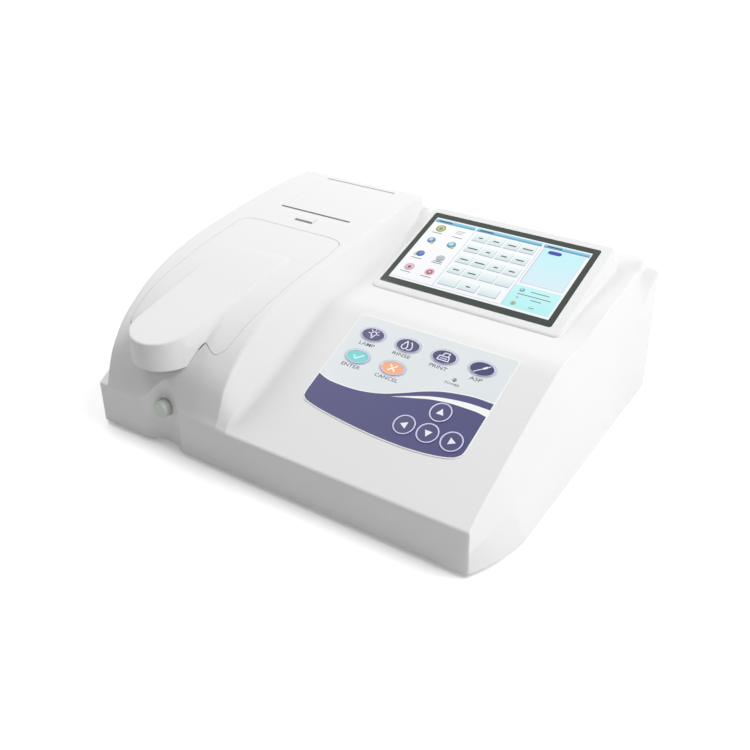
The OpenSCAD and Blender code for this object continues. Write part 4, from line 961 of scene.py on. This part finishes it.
class ANALYZER_OT_screen(bpy.types.Operator):
    """Builds the screen pod, its glass and the picture on it"""
    bl_idname = "analyzer.screen"
    bl_label = "Screen"

    def execute(self, context):
        x0, y0, x1, y1 = POD_BOX
        lines = []
        for inside in (2, 1.4, 0.9, 0.5, 0.2, 0, -0.15, -0.4, -0.8, -1.3, -1.9, -2.6):
            ring = self.pod_ring(-inside)
            lines.append(ring + ring[:1])
        lines += [[(x0 - 5, y), (x1 + 5, y)] for y in [y0 - 3 + 4 * k for k in range(32)]]
        form = plate([self.pod_ring(3.6)], pod_top, lambda x, s: deck_below(s) - 1.5, lines)
        pod = tool("screen_pod", form[:2], POD)
        x0, y0, x1, y1 = GLASS_BOX
        cut(pod, "glass_seat", prism(rounded(x0, y0, x1, y1, 2.3), "z", -1.8, 6), POD)
        cut(pod, "window", block(x0 + 3, y0 + 3, -60, x1 - 3, y1 - 3, 5), POD)
        mould(pod, "base", ["screen_housing"], 0.25, angle=60)

        edge = rounded(x0 + 0.25, y0 + 0.25, x1 - 0.25, y1 - 0.25, 2.1)
        glass = tool("cover_glass", prism(edge, "z", -1.79, -0.04), POD)
        dress(glass, "base", "screen_glass", ["touch_glass"], slot_finish("screen_glass"), edge=0.3, angle=60)

        materials = [lit("Picture, " + name, low, high) for name, low, high in PICTURE_COLOURS]
        fields = screen_fields()
        px, py, pw, ph = PICTURE
        regions = [[(px + u * pw, py + v * ph) for u, v in field] for field, _ in fields]
        spots, cells, tags = triangles(regions)
        boxes = [(min(xs), min(ys), max(xs), max(ys)) for xs, ys in [zip(*region) for region in regions]]
        uvs = []
        for cell, tag in zip(cells, tags):
            left, low, right, top = boxes[tag]
            wide, high = right - left, top - low
            uvs.append([((spots[i][0] - left) / wide, (spots[i][1] - low) / high) for i in cell])
        picture = piece("screen_picture", [(x, y, 0.03) for x, y in spots], cells, POD, materials,
                        [fields[tag][1] for tag in tags], uvs)
        tie(picture, "base", "display")
        return {"FINISHED"}

    def pod_ring(self, grow):
        x0, y0, x1, y1 = POD_BOX
        return rounded(x0 - grow, y0 - grow, x1 + grow, y1 + grow, POD_ROUND + grow, 10)


# Key panel

# Middles of the keys and of the power lamp in the deck's plane
OVALS = {"key_lamp": (205.5, 133.7), "key_rinse": (239.6, 133.7), "key_print": (273.7, 133.7),
         "key_aspirate": (307.8, 133.7), "key_enter": (205.5, 108.5), "key_cancel": (239.6, 108.5)}
ARROWS = {"key_up": (297.8, 84.1), "key_left": (277, 63.3), "key_down": (297.8, 63.3),
          "key_right": (318.6, 63.3)}
LED = (292.4, 116.2)
# Half the width and half the height of the oval keys, and the radius of the round ones
OVAL_KEY, ROUND_KEY = (11.0, 7.0), 9.3
# Words under the keys: what each says, from where to where it runs, its middle up the slope, its height
LABELS = [("LAMP", 198.5, 213.1, 122.9, 3.4), ("RINSE", 230.9, 247.5, 123.4, 3.4),
          ("PRINT", 265.8, 281.8, 123.2, 3.4), ("ASP", 302.2, 313.2, 123.0, 3.4),
          ("ENTER", 196, 214, 98.3, 3.3), ("CANCEL", 228.8, 250.4, 98.2, 3.3),
          ("POWER", 285.9, 298.9, 112.0, 2.3)]
# Upper edge of the purple wave
WAVE = [(181.6, 83.3), (187.6, 81), (194.6, 79), (210.6, 78), (227.6, 79), (244.6, 83), (260.6, 90),
        (274.6, 97), (287.6, 102), (301.6, 105), (316.6, 106.8), (334.6, 106.2)]
# Upper and lower edge of the white swoosh, from its point
SWOOSH = ([(252.6, 83), (268.6, 89.8), (286.6, 96), (304.6, 99.3), (317.6, 100.3), (334.6, 100.2)],
          [(252.6, 83), (269.6, 88.2), (287.6, 93), (306.6, 95), (320.6, 95), (334.6, 93)])
# Height of the film's face over the deck's plane
FILM_TOP = 0.71
# How far the ink of the words stands over it
INK = 0.02
# Left and right edge of the film, and the width of its white border, which is painted edge highlight
FILM_LEFT, FILM_RIGHT, FILM_HIGHLIGHT_BORDER = 183.4, 332.6, 0.75


def film_outline(inset):
    """The key panel's outline: round top corners, and a bowed lower edge."""
    low = through([(FILM_LEFT, 66), (183.6, 62), (184.6, 57.6), (188.6, 54.3), (201.6, 51), (222.6, 48),
                   (253.6, 45.2), (283.6, 44.4), (307.6, 46.2), (321.6, 49), (328.2, 51.8), (331.8, 56.4),
                   (FILM_RIGHT, 63)], 5)
    edge = low + arc(FILM_RIGHT - 4, 148, 4, 0, 90, 6) + arc(FILM_LEFT + 4, 148, 4, 90, 180, 6)
    return grown(edge, -inset)


# The sign on each oval key: lines with their width, in millimetres round the key's middle
SIGNS = {
    "key_lamp": [
        ([(-1.2, -1.6), (-1.4, -0.5), (-2.3, 0.6), (-2.2, 2.1), (-1.2, 3), (0, 3.3), (1.2, 3), (2.2, 2.1),
          (2.3, 0.6), (1.4, -0.5), (1.2, -1.6), (-1.2, -1.6)], 0.85),
        ([(-0.9, -3.1), (0.9, -3.1)], 0.9),
        *[([(r * math.cos(a), 1.1 + r * math.sin(a)) for r in (3.5, 4.9)], 0.8)
          for a in [math.radians(45 * k) for k in range(5)]]],
    "key_rinse": [
        (through([(-2.3, 4.2), (-4.1, 1), (-5.1, -1.5), (-4.1, -3.6), (-2.3, -4.1), (-0.6, -3.2), (0, -1.2),
                  (-1, 1.5), (-2.3, 4.2)], 3), 0.95),
        (through([(1.6, 4), (3.2, 1.8), (4.3, -1), (3.7, -3.4), (2, -4.1), (0.8, -3.9)], 3), 0.95)],
    "key_print": [
        ([(-4.4, 0.7), (-5, -3.4), (5, -3.4), (4.4, 0.7), (-4.4, 0.7)], 0.9),
        ([(-2.3, 0.7), (-1.2, 4.3), (3.6, 4.3), (2.9, 0.7)], 0.9), ([(-2.7, -1.4), (2.7, -1.4)], 0.8)],
    "key_aspirate": [
        ([(-5.4, -4.3), (1.3, 0.9)], 0.8), ([(1.3, 0.9), (3.2, 2.6)], 2), ([(3.2, 2.6), (5.4, 4.3)], 0.8)],
    "key_enter": [([(-3.4, 0.4), (-0.9, -2.2), (4.6, 2.6)], 1.4)],
    "key_cancel": [([(-2.9, -2.7), (2.9, 2.7)], 1.3), ([(-2.9, 2.7), (2.9, -2.7)], 1.3)],
}
# How far the arrow on each round key is turned to the left, in degrees
TURNS = {"key_up": 0, "key_left": 90, "key_down": 180, "key_right": -90}


def pictogram(name):
    """Regions of the plain sign on a key."""
    if name in SIGNS:
        return [region for points, width in SIGNS[name] for region in stroke(points, width)]
    a = math.radians(TURNS[name])
    tip = [(0, 3.6), (-3.3, -2.1), (3.3, -2.1)]
    return [[(x * math.cos(a) - y * math.sin(a), x * math.sin(a) + y * math.cos(a)) for x, y in tip]]


class ANALYZER_OT_keys(bpy.types.Operator):
    """Prints the key panel's film and forms its keys"""
    bl_idname = "analyzer.keys"
    bl_label = "Key panel"

    def execute(self, context):
        look = context.scene.analyzer
        self.panel(look)
        self.words()

        rim = key_film("silver-lilac rim", "#d3d5e8")
        ring = key_film("lilac ring print", "#d2d0ee")
        bright = key_film("pale lilac print", "#e8e6f8")
        pale_teal = key_film("pale teal print", "#bdeeea")
        pale_peach = key_film("cream print", "#fdf0e2")
        navy = key_film("navy print", look.navy_colour)
        purple = key_film("purple print", look.wave_colour)
        # The arrow keys' faces: the film's purple darkened as painted shade of their recessed dish
        dish_painted_shade = key_film("dark purple print", "#413f6c")
        teal = key_film("teal print", look.enter_colour)
        orange = key_film("orange print", look.cancel_colour)
        tints = {"key_enter": (teal, pale_teal, "key_teal"), "key_cancel": (orange, pale_peach, "key_orange")}
        for name, spot in OVALS.items():
            cap, sign, slot = tints.get(name, (navy, bright, "key_navy"))
            edge = 1.0 if name in tints else 0.75
            self.key(name, spot, *OVAL_KEY, edge, [rim, cap, sign, rim], slot)
        for name, spot in ARROWS.items():
            self.key(name, spot, ROUND_KEY, ROUND_KEY, 1.25, [ring, dish_painted_shade, bright, purple], "key_navy")

        dome = [(0, -3.6), (1.5, -3.6), (1.5, 0.55), (1.42, 0.68), (1.2, 0.78), (0.8, 0.92), (0.4, 0.98),
                (0, 1.0)]
        led = tool("power_lamp", lathe(dome, LED, "z", 24), DECK)
        dress(led, "base", "lamp_lens", ["power_led"], slot_finish("lamp_lens"))
        return {"FINISHED"}

    def panel(self, look):
        """The printed film: a pale field over a purple one, a white swoosh, and lines round the oval keys;
        the white border round the film and the white line between the two fields are painted edge highlight.
        """
        inner = film_outline(FILM_HIGHLIGHT_BORDER)
        left, right = FILM_LEFT + FILM_HIGHLIGHT_BORDER, FILM_RIGHT - FILM_HIGHLIGHT_BORDER
        crest = smooth_curve(through(WAVE, 6))
        over, under = smooth_curve(SWOOSH[0]), smooth_curve(SWOOSH[1])
        across = [mix(left, right, k / 60) for k in range(61)]
        tail = [mix(SWOOSH[0][0][0], right, k / 40) for k in range(41)]
        above = [p for p in inner if p[1] > crest(p[0]) + 2]
        below = [p for p in inner if p[1] < crest(p[0]) - 1]
        # The grey field starts 0.9 mm above the crest, leaving a white line there as painted edge highlight
        grey = above + [(x, crest(x) + 0.9) for x in across]
        purple = below + [(x, crest(x)) for x in reversed(across)]
        swoosh = [(x, under(x)) for x in tail] + [(x, over(x)) for x in reversed(tail[1:])]
        regions, tints = [film_outline(0), grey, purple, swoosh], [0, 1, 2, 0]
        wide, high = OVAL_KEY
        for spot in OVALS.values():
            regions += [oval(*spot, wide + 1.55, high + 1.3), oval(*spot, wide + 1.3, high + 1.05)]
            tints += [3, 4]
        holes = [oval(*spot, wide + 0.25, high + 0.25) for spot in OVALS.values()]
        around = ROUND_KEY + 0.25
        holes += [oval(*spot, around, around) for spot in ARROWS.values()] + [oval(*LED, 1.8, 1.8, 20)]
        points, faces, tags = plate(regions, lambda x, y: FILM_TOP, lambda x, y: 0.01, holes=holes)
        # The white film serves the swoosh's real print and the painted edge highlight of the border and the
        # line between the fields
        materials = [film("Polyester film, white print and painted edge highlight", "#f3f5f4"),
                     film("Polyester film, pale grey print", look.panel_colour),
                     film("Polyester film, purple print", look.wave_colour),
                     film("Polyester film, grey line print", "#8c8fa5"),
                     film("Polyester film, lilac print", "#d0d3e4")]
        panel = piece("key_panel_film", points, faces, DECK, materials, [tints[tag] for tag in tags])
        tie(panel, "base", "panel_film", ["key_overlay"])

    def words(self):
        """The words printed on the film."""
        points, faces = [], []
        for word, start, end, middle, height in LABELS:
            curve = bpy.data.curves.new(word, "FONT")
            curve.body = word
            curve.resolution_u = 3
            curve.offset = 0.006
            text = bpy.data.objects.new(word, curve)
            mesh = text.to_mesh()
            low = [min(v.co[k] for v in mesh.vertices) for k in (0, 1)]
            high = [max(v.co[k] for v in mesh.vertices) for k in (0, 1)]
            first = len(points)
            for v in mesh.vertices:
                along, up = [(v.co[k] - low[k]) / (high[k] - low[k]) for k in (0, 1)]
                points.append((mix(start, end, along), middle + (up - 0.5) * height, FILM_TOP + INK))
            faces += [[i + first for i in polygon.vertices] for polygon in mesh.polygons]
            text.to_mesh_clear()
            bpy.data.objects.remove(text)
            bpy.data.curves.remove(curve)
        ink = finish("Screen-printed ink, grey-violet", "#34344a", 0.5, 0.5, 0.003, 0.06, IOR=1.5)
        tie(piece("key_words", points, faces, DECK, [ink]), "base", "panel_film")

    def key(self, name, spot, wide, high, width, materials, slot):
        """One key: a formed wall and rim round a flat printed face."""
        wall = [(-0.7, -1.1), (-0.7, -0.2), (0, -0.2), (0, 1.0), (0.1, 1.22)]
        rim = [(0.3, 1.36), (0.55, 1.4), (width - 0.2, 1.36), (width - 0.08, 1.24), (width, 1.1)]
        n = 56
        points, sides = skin([[(x, y, w) for x, y in oval(*spot, wide - inside, high - inside, n)]
                              for inside, w in wall + rim])
        faces = [list(range(n))] + sides
        tints = [3] * (1 + n * (len(wall) - 1)) + [0] * (n * len(rim))
        signs = [[(x + spot[0], y + spot[1]) for x, y in region] for region in pictogram(name)]
        spots, cells, tags = triangles([oval(*spot, wide - width, high - width, n)] + signs)
        start = len(points)
        points += [(x, y, 1.1) for x, y in spots]
        faces += [[i + start for i in cell] for cell in cells]
        tints += [1 if tag == 0 else 2 for tag in tags]
        made = piece(name + "_cap", points, faces, DECK, materials, tints)
        made.data.polygons.foreach_set("use_smooth", [True] * len(made.data.polygons))
        made.data.set_sharp_from_angle(angle=math.radians(40))
        tie(made, name, slot, [name])


# Fittings

class ANALYZER_OT_button(bpy.types.Operator):
    """Turns the aspirate button"""
    bl_idname = "analyzer.button"
    bl_label = "Aspirate button"

    def execute(self, context):
        profile = [(0, -0.1), (3.5, -0.1), (5.6, -0.05), (6.6, 0.1), (7.1, 0.4), (7.4, 0.9), (7.5, 1.6),
                   (7.5, 24.6), (9.5, 24.6), (9.5, 26.6), (3, 26.6), (3, 31), (0, 31)]
        button = tool("aspirate_button_cap", lathe(profile, BUTTON, "y", 56))
        abs_green = finish("Gloss moulded ABS, grey-green", "#c3c9c1", 0.22, 2.0, 0.004, 0.02, IOR=1.53)
        dress(button, "aspirate_plunger", "inner_plastic", ["aspirate_button"], abs_green, smooth=45)
        return {"FINISHED"}


# How far each carried-over fitting's edges are rounded, in millimetres
SOFT_EDGES = {
    "base_plate": 0.4, "rear_panel": 0.3, "rubber_feet": 0.6, "case_screws": 0.15, "sample_well": 0.8,
    "cell_holder": 0.6, "probe_arm": 0.6, "pump_housing": 0.8, "pump_motor": 0.8, "waste_fitting": 0.3,
    "lamp_housing": 0.6, "filter_motor": 0.6, "detector_board": 0.2, "printer_frame": 0.5, "print_head": 0.5,
    "feed_motor": 0.5, "aspirate_switch": 0.5, "main_board": 0.3, "power_supply": 0.6, "fan_frame": 0.6,
    "fan_rotor": 0.3, "power_inlet": 0.5, "data_ports": 0.3, "switch_body": 0.5, "switch_rocker": 0.6,
    "pump_rotor": 0.5, "paper_roll": 0.3, "flow_cell": 0.3, "platen_roller": 0.3, "lcd_module": 0.4,
}


class ANALYZER_OT_fittings(bpy.types.Operator):
    """Rounds the edges of the carried-over fittings and gives every CAD node its finish"""
    bl_idname = "analyzer.fittings"
    bl_label = "Fittings"

    def execute(self, context):
        record = frame["record"]
        slots = {subpart["node"]: subpart["material_slot"] for subpart in record["subparts"]}
        bodies = {node: body for body, nodes in record["behaviour"]["bodies"].items() for node in nodes}
        for name, node in frame["nodes"].items():
            slot = slots.get(name)
            node.data.materials.clear()
            node.data.materials.append(slot_finish(slot))
            if name not in SOFT_EDGES:
                continue
            mesh = node.data.copy()
            mesh.name = name + "_soft"
            shape = bmesh.new()
            shape.from_mesh(mesh)
            bmesh.ops.remove_doubles(shape, verts=shape.verts, dist=2e-6)
            bmesh.ops.dissolve_limit(shape, angle_limit=math.radians(1), verts=shape.verts, edges=shape.edges)
            shape.to_mesh(mesh)
            shape.free()
            copy = bpy.data.objects.new(name + "_soft", mesh)
            context.scene.collection.objects.link(copy)
            dress(copy, bodies[name], slot, [name], edge=SOFT_EDGES[name])
        return {"FINISHED"}


# Stage

# Soft boxes round the object: name, power against the main lamp, width, and place in metres
LAMPS = (("lamp_top_right", 1.0, 1.2, (1.2, 0.2, 1.6)), ("lamp_top_left", 0.68, 1.2, (-1.2, 0.2, 1.6)),
         ("lamp_top", 0.1, 1.4, (0, 0, 2)), ("lamp_right", 0.2, 1.2, (2, 0.2, 0.5)),
         ("lamp_left", 0.1, 1.2, (-2, 0, 0.6)), ("lamp_rear_right", 0.26, 1.2, (1.4, 1.4, 0.7)),
         ("lamp_rear_left", 0.24, 1.2, (-1.3, 1.4, 0.8)))
# The point that the lamps face, in metres
AIM = (0, 0, 0.07)
# The camera's place in metres, its turn in degrees, and the width of its sensor in millimetres
CAMERA_PLACE, CAMERA_TURN, SENSOR = (0.41192, -0.61634, 0.47526), (59.03, 0.21, 33.61), 36
# Half the floor's width in millimetres, and its height against the cover's edge
FLOOR_HALF, FLOOR_Z = 3000, -3
# Distances in metres between which the floor turns from shaded paper to plain white
LIFT_NEAR, LIFT_FAR = 0.3, 0.9


class ANALYZER_OT_stage(bpy.types.Operator):
    """Lays the white floor, sets the lamps and the camera"""
    bl_idname = "analyzer.stage"
    bl_label = "Stage"

    def execute(self, context):
        scene = context.scene
        look = scene.analyzer
        scene.view_settings.view_transform = "Standard"

        corners = box_of(-FLOOR_HALF, -FLOOR_HALF, FLOOR_HALF, FLOOR_HALF)
        floor = piece("floor", [(x, y, FLOOR_Z) for x, y in corners], [[0, 1, 2, 3]])
        floor.data.materials.append(self.floor_paint())
        self.sky(scene, look)
        for name, share, size, spot in LAMPS:
            self.lamp(name, look.main_lamp * share, size, spot)

        data = bpy.data.cameras.new("photo_camera")
        data.sensor_width = SENSOR
        data.lens = look.view_lens
        data.clip_start = 0.01
        camera = bpy.data.objects.new("photo_camera", data)
        camera.location = CAMERA_PLACE
        camera.rotation_euler = [math.radians(turn) for turn in CAMERA_TURN]
        scene.collection.objects.link(camera)
        scene.camera = camera
        return {"FINISHED"}

    def seen(self, tree):
        """Socket that is 1 for rays from the camera, from gloss and through glass."""
        path = add(tree, "LightPath")
        gloss = add(tree, "Math", {0: path.outputs["Is Camera Ray"], 1: path.outputs["Is Glossy Ray"]},
                    operation="MAXIMUM")
        return add(tree, "Math", {0: gloss.outputs[0], 1: path.outputs["Is Transmission Ray"]},
                   operation="MAXIMUM").outputs[0]

    def floor_paint(self):
        """Matt white studio paper: it keeps the object's shadow, and is lifted to white for the camera."""
        paint = bpy.data.materials.new("Matt studio paper")
        tree = blank(paint)
        where = add(tree, "TexCoord").outputs["Object"]
        fibre = add(tree, "TexNoise", {"Vector": where, "Scale": 1 / (2 * MM)})
        bump = add(tree, "Bump", {"Height": fibre.outputs["Fac"], "Distance": 0.02 * MM})
        paper = add(tree, "BsdfPrincipled", {"Base Color": (0.86, 0.86, 0.86, 1), "Roughness": 0.9,
                                             "Specular IOR Level": 0.0, "Normal": bump.outputs["Normal"]})
        paper = paper.outputs["BSDF"]
        away = add(tree, "VectorMath", {0: where}, operation="LENGTH")
        lifted = add(tree, "MapRange", {"Value": away.outputs["Value"], "To Min": 0.3, "To Max": 1.0,
                                        "From Min": LIFT_NEAR, "From Max": LIFT_FAR})
        lift = add(tree, "Emission", {"Color": (1, 1, 1, 1), "Strength": lifted.outputs["Result"]})
        both = add(tree, "AddShader", {0: paper, 1: lift.outputs["Emission"]})
        choice = add(tree, "MixShader", {"Fac": self.seen(tree), 1: paper, 2: both.outputs["Shader"]})
        add(tree, "OutputMaterial", {"Surface": choice.outputs["Shader"]})
        return paint

    def sky(self, scene, look):
        """Even light all round, and plain white where the camera sees past the floor."""
        world = bpy.data.worlds.new("studio")
        scene.world = world
        tree = blank(world)
        even, white = [add(tree, "Background", {"Color": (1, 1, 1, 1), "Strength": strength})
                       for strength in (look.sky_light, 1.0)]
        choice = add(tree, "MixShader", {"Fac": self.seen(tree), 1: even.outputs["Background"],
                                         2: white.outputs["Background"]})
        add(tree, "OutputWorld", {"Surface": choice.outputs["Shader"]})

    def lamp(self, name, power, size, spot):
        data = bpy.data.lights.new(name, "AREA")
        data.energy = power
        data.shape = "DISK"
        data.size = size
        light = bpy.data.objects.new(name, data)
        light.location = spot
        light.rotation_euler = (Vector(AIM) - Vector(spot)).to_track_quat("-Z", "Y").to_euler()
        bpy.context.scene.collection.objects.link(light)


class ANALYZER_PT_sidebar(bpy.types.Panel):
    """Sizes, colours and steps of the analyzer"""
    bl_idname = "ANALYZER_PT_sidebar"
    bl_label = "Analyzer"
    bl_space_type = "VIEW_3D"
    bl_region_type = "UI"
    bl_category = "Analyzer"

    def draw(self, context):
        look = context.scene.analyzer
        for name in look.__annotations__:
            self.layout.prop(look, name)
        for step in STEPS:
            self.layout.operator(step.bl_idname)


STEPS = (ANALYZER_OT_cover, ANALYZER_OT_lid, ANALYZER_OT_printer, ANALYZER_OT_screen, ANALYZER_OT_keys,
         ANALYZER_OT_button, ANALYZER_OT_fittings, ANALYZER_OT_stage)
CLASSES = (AnalyzerSettings, *STEPS, ANALYZER_PT_sidebar)


def register():
    for entry in CLASSES:
        bpy.utils.register_class(entry)
    bpy.types.Scene.analyzer = PointerProperty(type=AnalyzerSettings)


def unregister():
    del bpy.types.Scene.analyzer
    for entry in reversed(CLASSES):
        bpy.utils.unregister_class(entry)


def main():
    register()
    for step in STEPS:
        group, name = step.bl_idname.split(".")
        getattr(getattr(bpy.ops, group), name)()


if __name__ == "__main__":
    main()
